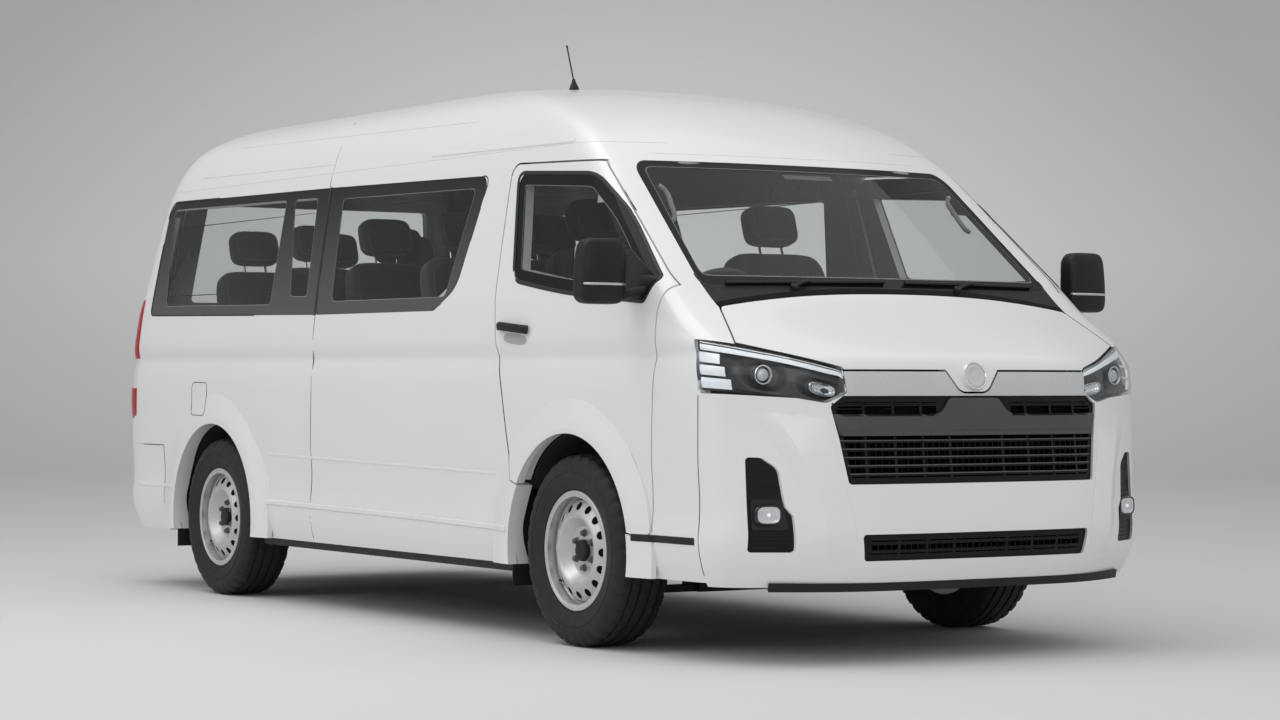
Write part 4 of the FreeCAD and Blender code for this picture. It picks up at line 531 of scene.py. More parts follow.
def plate_over(hits, rings, peak=None):
    """A plate over a ring of hits: rings of (scale, lift), then a flat face or a point at the peak's lift."""
    size = len(hits)
    middle = sum((hit[0] for hit in hits), Vector()) / size
    verts = [middle + (place - middle) * scale + normal * lift
             for scale, lift in rings for place, normal in hits]
    faces = net(len(rings), size)
    start = (len(rings) - 1) * size
    if peak is None:
        return verts, faces + [row_face(len(rings) - 1, size)]
    verts.append(middle + sum((hit[1] for hit in hits), Vector()).normalized() * peak)
    return verts, faces + [(start + k, start + (k + 1) % size, len(verts) - 1) for k in range(size)]


def squared(value, power):
    """A sine or cosine drawn towards that of a rounded rectangle."""
    return math.copysign(abs(value) ** power, value)


def oval_rings(middle, across, upward, aim, rings, power, count, filled):
    """Rings of (scale, lift along aim) round a middle, shaped as rounded rectangles."""
    verts = []
    for scale, lift in rings:
        for k in range(count):
            wide = squared(math.cos(TURN * k / count), power)
            high = squared(math.sin(TURN * k / count), power)
            verts.append(middle + (across * wide + upward * high) * scale + aim * lift)
    faces = net(len(rings), count)
    if filled:
        faces.append(row_face(len(rings) - 1, count))
    return verts, faces


# Rays that find the vehicle's surface
def tree_of(names):
    """A tree for rays against some nodes of the frame, at rest."""
    nodes = [NODES[name] for name in names]
    return BVHTree.FromPolygons(*merged([([node.matrix_world @ v.co for v in node.data.vertices],
                                          [face.vertices for face in node.data.polygons]) for node in nodes]))


SKIN = tree_of(["side_panel_right", "side_panel_left", "sliding_door", "front_fenders", "front_door_right",
                "front_door_left", "roof_panel", "side_windows", "door_glass_right", "door_glass_left",
                "front_bumper", "rear_bumper", "tail_lamps", "headlamp_lenses", "tailgate", "tailgate_glass",
                "bonnet", "windscreen", "grille_bar", "cowl"])


def cast(origin, direction, tree):
    """The place and the outward normal that a ray meets, or None."""
    direction = Vector(direction)
    place, normal, _, _ = tree.ray_cast(Vector(origin), direction)
    if place is None:
        return None
    return place, normal if normal.dot(direction) < 0 else -normal


def on_side(y, z, side, tree=SKIN):
    return cast((side * 3, y, z), (-side, 0, 0), tree)


def on_front(x, z, tree=SKIN):
    return cast((x, -6, z), (0, 1, 0), tree)


def on_tail(x, z):
    return cast((x, 6, z), (0, -1, 0), SKIN)


def on_top(x, y):
    return cast((x, y, 6), (0, 0, -1), SKIN)


def straight(find, start, end, count, *rest):
    """What find meets at even steps between two flat points."""
    across, along = spread(start[0], end[0], count), spread(start[1], end[1], count)
    return [find(*spot, *rest) for spot in zip(across, along)]


def dense(points, step, closed=False):
    """The same polyline with points at most a step apart."""
    result = []
    count = len(points)
    for k in range(count if closed else count - 1):
        a, b = points[k], points[(k + 1) % count]
        parts = max(1, int(math.dist(a, b) / step))
        for i in range(parts):
            t = i / parts
            result.append(tuple(p + (q - p) * t for p, q in zip(a, b)))
    if not closed:
        result.append(tuple(points[-1]))
    return result


def laid(find, points, step, closed=False, *rest):
    """What find meets along a flat polyline."""
    return [find(*spot, *rest) for spot in dense(points, step, closed)]


def round_outline(points, radii, steps=7):
    """A closed outline whose corners are rounded, each by its own radius."""
    result = []
    count = len(points)
    if isinstance(radii, (int, float)):
        radii = [radii] * count
    for k in range(count):
        corner = Vector(points[k])
        before = Vector(points[k - 1]) - corner
        after = Vector(points[(k + 1) % count]) - corner
        reach = min(radii[k], before.length * 0.49, after.length * 0.49)
        a = corner + before.normalized() * reach
        b = corner + after.normalized() * reach
        for t in spread(0, 1, steps):
            result.append(tuple(a * (1 - t) ** 2 + corner * 2 * t * (1 - t) + b * t * t))
    return result


def on_table(table, at):
    """The value at a place of a table of (place, value), held at both ends."""
    for (low, first), (high, second) in zip(table, table[1:]):
        if at <= high:
            return first + (second - first) * max(0.0, (at - low) / (high - low))
    return table[-1][1]


# Forms made from a profile
def sweep(name, path, normals, profile, material, body, closed=False, angle=35.0, replaced=()):
    """A profile (across, up) carried along a path; up follows the normals."""
    verts = []
    count, width = len(path), len(profile)
    for k in range(count):
        last = path[k - 1] if k or closed else path[k]
        following = path[(k + 1) % count] if k + 1 < count or closed else path[k]
        run = (following - last).normalized()
        normal = (normals[k] - run * normals[k].dot(run)).normalized()
        across = normal.cross(run)
        verts += [path[k] + across * a + normal * u for a, u in profile]
    faces = net(count, width, True, closed)
    if not closed:
        faces += [row_face(0, width), row_face(count - 1, width)]
    return piece(name, verts, faces, material, body, angle, replaced)


def band_profile(width, lift):
    half, edge, sink = width / 2, min(width * 0.22, lift), 0.001
    return [(-half, -sink), (-half, lift - edge), (-half + edge, lift), (0, lift * 1.04), (half - edge, lift),
            (half, lift - edge), (half, -sink)]


def eased(values, closed, reach):
    """A running mean over a row of vectors."""
    count = len(values)
    result = []
    for k in range(count):
        near = range(k - reach, k + reach + 1)
        near = [i % count if closed else min(count - 1, max(0, i)) for i in near]
        result.append(sum((values[i] for i in near), Vector()) / len(near))
    return result


def ribbon(name, hits, width, lift, material, body, closed=False, ease=0):
    """A flat band that lies on the skin along hit points."""
    hits = [hit for hit in hits if hit]
    places, normals = [hit[0] for hit in hits], [hit[1] for hit in hits]
    if ease:
        normals = eased(normals, closed, ease)
        means = eased(places, closed, 1)
        places = [place + normal * (mean - place).dot(normal)
                  for place, mean, normal in zip(places, means, normals)]
    return sweep(name, places, normals, band_profile(width, lift), material, body, closed)


def tube(name, path, radius, material, body, hint, closed=False, count=12):
    """A round bar along a path; hint is a direction that the path never takes."""
    path = [Vector(p) for p in path]
    profile = [(radius * math.cos(TURN * k / count), radius * math.sin(TURN * k / count))
               for k in range(count)]
    return sweep(name, path, [Vector(hint)] * len(path), profile, material, body, closed, 50)


def bezier(points, steps):
    """A smooth open curve through the points."""
    pts = [Vector(p) for p in points]
    pts = [pts[0] * 2 - pts[1]] + pts + [pts[-1] * 2 - pts[-2]]
    result = []
    for k in range(1, len(pts) - 2):
        a, b, c, d = pts[k - 1:k + 3]
        for i in range(steps):
            t = i / steps
            result.append(0.5 * ((2 * b) + (c - a) * t + (2 * a - 5 * b + 4 * c - d) * t * t
                                 + (3 * b - a - 3 * c + d) * t ** 3))
    result.append(pts[-2])
    return result


def revolved(profile, segments, place, axis, shape=None, closed=False):
    """A turned form: profile (radius, along axis); shape may change a point's radius."""
    axis = Vector(axis).normalized()
    u = axis.orthogonal().normalized()
    v = axis.cross(u)
    verts = []
    for k in range(segments):
        angle = TURN * k / segments
        for radius, along in profile:
            if shape:
                radius = shape(k, radius, along)
            verts.append(Vector(place) + axis * along + (u * math.cos(angle) + v * math.sin(angle)) * radius)
    return verts, net(segments, len(profile), closed, True)


def soft_block(centre, across, deep, high, power, steps, change=None):
    """A closed rounded block: three half-size vectors round a centre."""
    verts, faces, index = [], [], {}
    centre, across, deep, high = Vector(centre), Vector(across), Vector(deep), Vector(high)

    def vert(x, y, z):
        key = (round(x, 5), round(y, 5), round(z, 5))
        if key not in index:
            size = (abs(x) ** power + abs(y) ** power + abs(z) ** power) ** (1 / power)
            px, py, pz = x / size, y / size, z / size
            if change:
                px, py, pz = change(px, py, pz)
            index[key] = len(verts)
            verts.append(centre + across * px + deep * py + high * pz)
        return index[key]

    marks = spread(-1, 1, steps)
    for axis in range(3):
        for sign in (-1, 1):
            for i in range(steps):
                for j in range(steps):
                    corners = []
                    for a, b in ((i, j), (i + 1, j), (i + 1, j + 1), (i, j + 1)):
                        spot = [marks[a], marks[b]]
                        spot.insert(axis, sign)
                        corners.append(vert(*spot))
                    faces.append(tuple(corners))
    return verts, faces


# Tyres: sidewall steps, four long grooves and cut shoulder blocks
TREAD_RADIUS = 0.3535
GROOVES = (-0.062, -0.022, 0.022, 0.062)
TYRE_SEGMENTS = 216
WALL = [(0.3335, 0.1040), (0.3195, 0.1095), (0.306, 0.1135), (0.292, 0.1137), (0.2895, 0.1113),
        (0.281, 0.1113), (0.279, 0.1129), (0.262, 0.1090), (0.246, 0.1030), (0.232, 0.0985), (0.2275, 0.0970),
        (0.2260, 0.0925), (0.208, 0.0900)]
WHEELS = [("%s_%s" % (place, side_name), Vector((side * WHEEL_MIDDLE, axle, AXLE_HEIGHT)),
           Vector((side, 0, 0)))
          for place, axle in (("front", FRONT_AXLE), ("rear", REAR_AXLE)) for side_name, side in SIDES]


def tyre_profile():
    tread = [(TREAD_RADIUS - 0.006, -0.0925), (TREAD_RADIUS - 0.0022, -0.0855)]
    for groove in GROOVES:
        tread += [(TREAD_RADIUS, groove - 0.0055), (TREAD_RADIUS - 0.008, groove - 0.0042),
                  (TREAD_RADIUS - 0.008, groove + 0.0042), (TREAD_RADIUS, groove + 0.0055)]
    tread += [(TREAD_RADIUS - 0.0022, 0.0855), (TREAD_RADIUS - 0.006, 0.0925)]
    return [(radius, -along) for radius, along in reversed(WALL)] + tread + WALL


def tread_cut(k, radius, along):
    """Cuts the shoulder blocks, and the sipes between the grooves."""
    if radius > 0.33 and abs(along) > 0.066 and k % 6 in (0, 1):
        return radius - 0.0065
    if radius > 0.345 and abs(along) < 0.060 and (k + (2 if along > 0 else 0)) % 4 == 0:
        return radius - 0.0022
    return radius


def build_tyres():
    for name, middle, _ in WHEELS:
        tyre = revolved(tyre_profile(), TYRE_SEGMENTS, middle, (1, 0, 0), tread_cut, closed=True)
        piece("tread_tyre_" + name, *tyre, RUBBER, "wheel_" + name, 28, ["tyre_" + name])


# Wheels: the disc with its holes as black ovals of painted shade, nuts, cap, valve and the rim's flange
DISC_FACE = [(0.0380, 0.0550), (0.0850, 0.0550), (0.0900, 0.0562), (0.0960, 0.0620), (0.1180, 0.0875),
             (0.1235, 0.0925), (0.1290, 0.0945), (0.1345, 0.0938), (0.1400, 0.0915), (0.1820, 0.0680),
             (0.1856, 0.0650), (0.1868, 0.0610), (0.1868, 0.0500), (0.1845, 0.0500), (0.1840, 0.0610),
             (0.1380, 0.0880), (0.1290, 0.0905), (0.1190, 0.0840), (0.0880, 0.0520), (0.0380, 0.0520)]
NUT = [(0.0, 0.0), (0.0155, 0.0), (0.0150, 0.003), (0.0112, 0.005), (0.0104, 0.014), (0.0088, 0.0162),
       (0.0, 0.0166)]
CAP = [(0.0395, -0.002), (0.0400, 0.012), (0.0375, 0.0180), (0.0300, 0.0205), (0.0290, 0.0200),
       (0.0180, 0.0210), (0.0, 0.0214)]
VALVE = [(0.0, 0.0), (0.0050, 0.0), (0.0042, 0.014), (0.0036, 0.016), (0.0038, 0.030), (0.0, 0.031)]
HOLE_LIP = [(0.0152, 0.0), (0.0156, 0.0012), (0.0166, 0.0012), (0.0178, -0.001)]
HOLE = [(0.0, 0.0004), (0.0156, 0.0004)]
FLANGE = [(0.2075, 0.0955), (0.2100, 0.0985), (0.2165, 0.0990), (0.2205, 0.0965), (0.2195, 0.0940),
          (0.2100, 0.0935)]
HUB_OUT, NUT_COUNT, NUT_CIRCLE = 0.0555, 6, 0.064
HOLE_COUNT, HOLE_CIRCLE, HOLE_OUT, HOLE_STRETCH = 16, 0.1630, 0.0785, 0.10


def radial(angle):
    return Vector((0, math.cos(angle), math.sin(angle)))


def wheel_hole(profile, middle, out, angle):
    """A turned form on the disc's slope, drawn out a little along the circle of holes."""
    outward = radial(angle)
    slope = (outward * 0.488 + out * 0.873).normalized()
    spot = middle + out * HOLE_OUT + outward * HOLE_CIRCLE
    sideways = slope.cross(outward.cross(out)).normalized()
    verts, faces = revolved(profile, 24, spot, slope)
    return [vert + sideways * ((vert - spot).dot(sideways) * HOLE_STRETCH) for vert in verts], faces


def build_wheel_details():
    for name, middle, out in WHEELS:
        body = "wheel_" + name
        hub = middle + out * HUB_OUT
        piece("wheel_disc_" + name, *revolved(DISC_FACE, 120, middle, out, closed=True), RIM_PAINT, body, 28)
        nuts = [revolved(NUT, 6, hub + radial(TURN * (k + 0.5) / NUT_COUNT) * NUT_CIRCLE, out)
                for k in range(NUT_COUNT)]
        piece("wheel_nuts_" + name, *merged(nuts), CAST, body, 25)
        piece("wheel_cap_" + name, *revolved(CAP, 48, hub, out), BLACK, body, 30)
        foot = middle + out * 0.050 + Vector((0, 0.149, -0.122))
        piece("valve_" + name, *revolved(VALVE, 14, foot, out + Vector((0, -0.25, 0.2))), BLACK, body, 30)
        # The holes are ovals of painted shade on the disc's slope, each ringed by a lip
        for kind, profile, material in (("rim_hole_lips_", HOLE_LIP, RIM_PAINT),
                                        ("rim_holes_", HOLE, PAINTED_SHADE_BLACK)):
            holes = [wheel_hole(profile, middle, out, TURN * k / HOLE_COUNT) for k in range(HOLE_COUNT)]
            piece(kind + name, *merged(holes), material, body, 40)
        piece("rim_flange_" + name, *revolved(FLANGE, 128, middle, out, closed=True), RIM_PAINT, body, 40)


build_tyres()
build_wheel_details()


# Headlamps: a bright band on top, stacked segments outside, a projector and an oblong reflector
LENS_TREE = tree_of(["headlamp_lenses"])
LAMP_TOP = [(0.0, Vector((-0.962, -2.300, 1.132))), (0.45, Vector((-0.720, -2.480, 1.072))),
            (0.80, Vector((-0.545, -2.600, 1.024))), (1.0, Vector((-0.500, -2.625, 0.965)))]
LAMP_LOW = [(0.0, Vector((-0.968, -2.352, 0.948))), (0.45, Vector((-0.735, -2.515, 0.921))),
            (0.72, Vector((-0.610, -2.590, 0.897))), (1.0, Vector((-0.492, -2.625, 0.930)))]
LAMP_AIM_OUTER, LAMP_AIM_INNER = Vector((-0.80, -0.60, 0.06)), Vector((-0.20, -0.96, 0.20))
LAMP_SEGMENTS = ((0.06, 0.26), (0.31, 0.50), (0.55, 0.75))
BOWL_BACK = 0.060
PROJECTOR_RING = [(0.0300, -0.020), (0.0340, 0.000), (0.0335, 0.0045), (0.0310, 0.0055), (0.0285, 0.0020),
                  (0.0275, -0.020)]
PROJECTOR_BALL = [(0.0225 * math.sin(angle), -0.006 + 0.012 * math.cos(angle))
                  for angle in spread(math.pi / 2, 0, 9)]
OBLONG_RINGS = [(1.0, 0.010), (0.94, 0.011), (0.90, 0.006), (0.72, -0.004), (0.45, -0.010), (0.15, -0.012)]


def lamp_point(s, t, depth, side):
    """A point behind the lens at shares along it and up it, with the direction out of the lamp."""
    spot = on_table(LAMP_LOW, s).lerp(on_table(LAMP_TOP, s), t)
    aim = LAMP_AIM_OUTER.lerp(LAMP_AIM_INNER, s).normalized()
    place, _, _, _ = LENS_TREE.ray_cast(spot + aim * 0.25, -aim)
    if place is None or (place - spot).length > 0.06:
        place = LENS_TREE.find_nearest(spot)[0]
    place = place - aim * depth
    return Vector((side * -place.x, place.y, place.z)), Vector((side * -aim.x, aim.y, aim.z))


def pit(s, t, s0, t0, half_s, half_t, power, steepness):
    """The share of full depth inside a rounded pit of the lamp's bowl."""
    reach = (abs((s - s0) / half_s) ** power + abs((t - t0) / half_t) ** power) ** (1 / power)
    return min(1.0, steepness * max(0.0, 1.0 - reach))


def bowl_depth(s, t):
    whole = 0.020 * pit(s, t, 0.50, 0.44, 0.47, 0.44, 5, 8)
    projector = 0.020 * pit(s, t, 0.36, 0.46, 0.13, 0.36, 2.6, 2.5)
    oblong = 0.012 * pit(s, t, 0.70, 0.40, 0.15, 0.26, 3.0, 3.0)
    return 0.0150 + whole + projector + oblong


def lamp_slab(s0, s1, t0, t1, depth, thick, side):
    """A closed block that follows the lens between two shares each way."""
    columns, rows = max(4, int((s1 - s0) * 60)), 3
    wide, top = columns + 1, rows * (columns + 1)

    def inside(a, b, back):
        reach = depth + thick * (1 if back else 0.35 * (2 * b - 1) ** 4)
        return lamp_point(s0 + (s1 - s0) * a, t0 + (t1 - t0) * b, reach, side)[0]

    verts, faces = merged([patch(lambda a, b: inside(a, b, back), rows, columns) for back in (False, True)])
    shift = len(verts) // 2
    edge = list(range(columns)) + [wide * row + columns for row in range(rows)]
    edge += [top + i for i in range(columns, 0, -1)] + [wide * row for row in range(rows, 0, -1)]
    for a, b in zip(edge, edge[1:] + edge[:1]):
        faces.append((a, b, shift + b, shift + a))
    return verts, faces


def bowl_point(a, b, depth, side):
    return lamp_point(0.01 + 0.98 * a, 0.02 + 0.96 * b, depth, side)[0]


def lamp_aim(normal, ahead):
    return (Vector((0, -ahead, 0)) + normal * (1 - ahead)).normalized()


def build_headlamps():
    for tag, side in SIDES:
        bowl = patch(lambda a, b: bowl_point(a, b, bowl_depth(a, b), side), 40, 110)
        back = patch(lambda a, b: bowl_point(a, b, BOWL_BACK, side), 6, 30)
        piece("lamp_bowl_" + tag, *merged([bowl, back]), BEZEL, "body", 40, ["headlamps"] if side < 0 else [])
        band = lamp_slab(0.03, 0.93, 0.790, 0.900, 0.0095, 0.006, side)
        piece("light_band_" + tag, *band, LIGHT_BAND, "body", 40)
        edge = lamp_slab(0.03, 0.93, 0.925, 0.960, 0.0100, 0.004, side)
        piece("chrome_edge_" + tag, *edge, CHROME, "body", 40)
        steps = [lamp_slab(0.015, 0.200 - 0.10 * low, low, high, 0.0100, 0.010, side)
                 for low, high in LAMP_SEGMENTS]
        piece("lamp_segments_" + tag, *merged(steps), LIGHT_BAND, "body", 40)
        place, normal = lamp_point(0.36, 0.46, 0.026, side)
        aim = lamp_aim(normal, 0.8)
        ring = revolved(PROJECTOR_RING, 56, place, aim, closed=True)
        piece("projector_ring_" + tag, *ring, CHROME, "body", 35)
        # The projector's glass is opaque light grey: painted reflection
        piece("projector_glass_" + tag, *revolved(PROJECTOR_BALL, 48, place, aim), PAINTED_REFLECTION_SILVER, "body", 40)
        place, normal = lamp_point(0.70, 0.40, 0.034, side)
        aim = lamp_aim(normal, 0.75)
        sideways = aim.cross(UPWARD).normalized()
        upward = sideways.cross(aim).normalized()
        slanted = (sideways + upward * (0.18 * -side)) * 0.052
        bowl = oval_rings(place, slanted, upward * 0.022, aim, OBLONG_RINGS, 0.75, 48, True)
        piece("oblong_reflector_" + tag, *bowl, FACET, "body", 45)


build_headlamps()


# Plates that follow the nose: an outline on a grid, lifted off the surface behind it
NOSE_TREE = tree_of(["front_bumper", "grilles", "grille_bar", "bonnet", "headlamp_lenses", "front_fenders"])


def nose_depth(x, z, beyond):
    """How far forward the nose's surface lies, or the value for beyond it."""
    hit = on_front(x, z, NOSE_TREE)
    return hit[0].y if hit else beyond


def nose_plate(name, outline_points, lift, thick, material, step):
    """A plate with any front outline, cut on a grid and wrapped on the nose at an even lift."""
    work = bmesh.new()
    work.faces.new([work.verts.new((x, 0, z)) for x, z in outline_points])
    for axis in range(2):
        direction = Vector((1 - axis, 0, axis))
        low, high = min(p[axis] for p in outline_points), max(p[axis] for p in outline_points)
        for k in range(1, int((high - low) / step) + 1):
            everything = work.verts[:] + work.edges[:] + work.faces[:]
            cut = direction * (low + k * step)
            bmesh.ops.bisect_plane(work, geom=everything, plane_co=cut, plane_no=direction)
    for vert in work.verts:
        vert.co.y = nose_depth(vert.co.x, vert.co.z, -2.6) - lift
    back = bmesh.ops.extrude_face_region(work, geom=work.faces[:])
    for item in back["geom"]:
        if isinstance(item, bmesh.types.BMVert):
            item.co.y -= thick
    bmesh.ops.recalc_face_normals(work, faces=work.faces)
    work.verts.index_update()
    verts = [v.co.copy() for v in work.verts]
    faces = [tuple(v.index for v in f.verts) for f in work.faces]
    work.free()
    return piece(name, verts, faces, material, "body", 32)


# Fog lamps: louvres over and under a box with a round-cornered lamp
FOG_INNER = [(0.398, 0.731), (0.471, 0.724), (0.563, 0.735), (0.580, 0.747), (0.655, 0.761), (0.693, 0.775),
             (0.716, 0.812)]
FOG_OUTER = [(0.398, 0.862), (0.471, 0.860), (0.563, 0.858), (0.580, 0.856), (0.655, 0.855), (0.693, 0.853),
             (0.716, 0.852)]
LOUVRE_HEIGHTS = (0.601, 0.619, 0.637, 0.655, 0.673, 0.690, 0.412, 0.428, 0.444)
LOUVRE_PROFILE = ((0.004, -0.0045), (-0.0035, -0.0025), (-0.0045, 0.0), (0.004, 0.0035))
FOG_BOX = ((0.742, 0.470), (0.852, 0.470), (0.850, 0.575), (0.758, 0.575))
FOG_LAMP = ((1.0, 0.0055), (0.96, 0.0075), (0.90, 0.0060), (0.60, 0.0048), (0.25, 0.0044))
FOG_RING = ((1.22, -0.004), (1.22, 0.004), (1.14, 0.008), (1.04, 0.0075), (1.0, 0.004))
FOG_HALF_WIDTH, FOG_HALF_HEIGHT = 0.041, 0.029
LOUVRE_STEPS = 12


def fog_louvre(z, side):
    verts = []
    for x in spread(on_table(FOG_INNER, z) + 0.012, on_table(FOG_OUTER, z) - 0.006, LOUVRE_STEPS):
        y = nose_depth(side * x, z, -2.45)
        verts += [Vector((side * x, y + dy, z + dz)) for dy, dz in LOUVRE_PROFILE]
    width = len(LOUVRE_PROFILE)
    return verts, net(LOUVRE_STEPS + 1, width) + [row_face(0, width), row_face(LOUVRE_STEPS, width)]


def build_fog_lamps():
    for side_name, side in SIDES:
        louvres = [fog_louvre(z, side) for z in LOUVRE_HEIGHTS]
        piece("fog_louvres_" + side_name, *merged(louvres), BLACK, "body", 30)
        box_line = round_outline([(side * x, z) for x, z in FOG_BOX], 0.012)
        nose_plate("fog_surround_" + side_name, box_line, -0.002, 0.0085, BLACK, 0.02)
        middle = Vector((side * 0.803, 0, 0.522))
        middle.y = nose_depth(middle.x, middle.z, -2.5) - 0.0125
        aim = Vector((side * 0.30, -1, 0)).normalized()
        across = aim.cross(UPWARD).normalized()
        wide, high = across * FOG_HALF_WIDTH, UPWARD * FOG_HALF_HEIGHT
        lamp = oval_rings(middle, wide, high, aim, FOG_LAMP, 0.6, 40, True)
        # The fog lamp's reflector in light grey: painted reflection
        piece("fog_lamp_" + side_name, *lamp, PAINTED_REFLECTION_SILVER, "body", 40)
        ring = oval_rings(middle, wide, high, aim, FOG_RING, 0.6, 40, False)
        piece("fog_ring_" + side_name, *ring, GLOSS_BLACK, "body", 40)
        bulb = soft_block(middle + aim * 0.005, across * 0.007, aim * 0.006, (0, 0, 0.007), 2.4, 8)
        piece("fog_bulb_" + side_name, *bulb, LIGHT_BAND, "body", 60)


build_fog_lamps()


# Grilles: a satin grey plate whose hump parts the two slots, lighter top edges on the slats as painted
# highlight, ribs and a black sheet of painted shade behind
GRILLE_PLATE = [(-0.563, 0.792), (0.563, 0.792), (0.585, 0.866), (0.150, 0.866), (0.108, 0.922),
                (-0.108, 0.922), (-0.150, 0.866), (-0.585, 0.866)]
GRILLE_PLATE_RADII = [0.003, 0.003, 0.008, 0.03, 0.012, 0.012, 0.03, 0.008]
GRILLE_FOOT = [(-0.558, 0.7915), (0.558, 0.7915), (0.562, 0.806), (-0.562, 0.806)]
SLOT_BAR_HEIGHTS = (0.884, 0.902)
SLAT_TOPS = (0.6633, 0.6919, 0.7205, 0.7491, 0.7777)


def build_grille_dress():
    outline_points = round_outline(GRILLE_PLATE, GRILLE_PLATE_RADII, 4)
    nose_plate("grille_plate", outline_points, 0.0005, 0.0075, DARK_GREY, 0.022)
    nose_plate("grille_plate_foot", GRILLE_FOOT, 0.0005, 0.0135, DARK_GREY, 0.03)
    for number, z in enumerate(SLOT_BAR_HEIGHTS):
        for side_name, side in SIDES:
            edge = [(side * 0.165, z - 0.0025), (side * 0.590, z - 0.0025), (side * 0.588, z + 0.0025),
                    (side * 0.155, z + 0.0025)]
            nose_plate("slot_bar_%s_%d" % (side_name, number), edge, -0.004, 0.006, GRILLE_BLACK, 0.03)
    # A lighter grey strip on each slat's top edge: painted highlight
    for number, top in enumerate(SLAT_TOPS):
        half = 0.522 + 0.27 * (top - 0.625)
        edge = [(-half, top - 0.0045), (half, top - 0.0045), (half, top - 0.0012), (-half, top - 0.0012)]
        nose_plate("slat_edge_%d" % number, edge, -0.0002, 0.0016, SLAT_PAINTED_HIGHLIGHT, 0.03)


def rib_row(name, low, high, reach, step, narrow):
    """Upright ribs behind the slats of a grille."""
    parts = []
    for x in spread(-reach, reach, int(2 * reach / step)):
        hits = [nose_depth(x, low + share * (high - low), 0.0) for share in (0.3, 0.5, 0.7)]
        y = min(hits + [-2.6 + 0.10 * x * x])
        parts.append(soft_block((x, y + 0.014, (low + high) / 2), (0.0018, 0, 0), (0, 0.006, 0),
                                (0, 0, (high - low) / 2 - narrow), 8, 3))
    piece(name, *merged(parts), GRILLE_BLACK, "body", 30)


def painted_shade_plate(name, low, high, reach):
    """A black sheet of painted shade behind a grille, at an even depth behind its slats."""
    heights = spread(low, high, 12)[1:-1]

    def inside(a, b):
        x = -reach + 2 * reach * a
        front = min([nose_depth(x, z, 0.0) for z in heights] + [-2.66 + 0.22 * x * x])
        return Vector((x, front + 0.052, low + (high - low) * b))

    piece(name, *patch(inside, 4, 30), PAINTED_SHADE_BLACK, "body", 40)


build_grille_dress()
# Black sheets of painted shade behind both grilles
painted_shade_plate("grille_shade", 0.620, 0.915, 0.545)
painted_shade_plate("lower_grille_shade", 0.355, 0.460, 0.500)
rib_row("grille_ribs", 0.627, 0.790, 0.530, 0.0265, 0.002)
rib_row("lower_grille_ribs", 0.366, 0.449, 0.485, 0.0265, 0.003)


# Raised white fins between the grille and the fog lamps: nearly flush outside, steep towards the grille
FIN_OUTER = [(0.352, 0.655), (0.520, 0.690), (0.642, 0.718), (0.740, 0.765), (0.800, 0.800), (0.872, 0.850)]
FIN_INNER = [(0.352, 0.515), (0.470, 0.520), (0.612, 0.551), (0.780, 0.590), (0.872, 0.612)]
FIN_PROFILE = [(0.0, -0.0015), (0.0, 0.0002), (0.16, 0.0080), (0.29, 0.0150), (0.32, 0.0160), (0.35, 0.0154),
               (0.68, 0.0085), (1.0, 0.0018), (1.0, -0.0015)]
FIN_ROWS = 46
BUMPER_TREE = tree_of(["front_bumper"])


def fin(side):
    """Verts and faces of a fin; where the bumper ends, it carries on from the last point."""
    verts = []
    for row, z in enumerate(spread(FIN_OUTER[0][0], FIN_OUTER[-1][0], FIN_ROWS)):
        fade = min(1.0, row / 9, (FIN_ROWS - row) / 12)
        outer, inner = on_table(FIN_OUTER, z), on_table(FIN_INNER, z) + 0.006
        for share, lift in FIN_PROFILE:
            x = side * (outer + (inner - outer) * share)
            hit = on_front(x, z, BUMPER_TREE)
            if hit and hit[0].y <= -2.30:
                y = hit[0].y
            else:
                y = verts[-1].y if verts else -2.6
            verts.append(Vector((x, y - (lift * fade if lift > 0 else lift), z)))
    width = len(FIN_PROFILE)
    return verts, net(FIN_ROWS + 1, width, around=False) + [row_face(0, width), row_face(FIN_ROWS, width)]


for fin_name, fin_side in SIDES:
    piece("grille_fin_" + fin_name, *fin(fin_side), PAINT, "body", 22)


# The plain round boss on the bonnet's tongue: a ring round a lightly crowned disc
BOSS_PLACE, BOSS_AXIS = (0, -2.65302, 0.99902), (0, -0.9654, 0.2607)
BOSS_RING = [(0.0440, 0.0004), (0.0445, 0.0032), (0.0462, 0.0046), (0.0488, 0.0046), (0.0500, 0.0030),
             (0.0500, 0.0004)]
BOSS_DISC = [(0.0438, 0.0004), (0.0432, 0.0018), (0.0380, 0.0026), (0.0300, 0.0034), (0.0290, 0.0030),
             (0.0150, 0.0036), (0.0, 0.0038)]
piece("boss_ring", *revolved(BOSS_RING, 96, BOSS_PLACE, BOSS_AXIS, closed=True), CHROME, "bonnet_lid", 35)
piece("boss_disc", *revolved(BOSS_DISC, 96, BOSS_PLACE, BOSS_AXIS), SILVER, "bonnet_lid", 35)


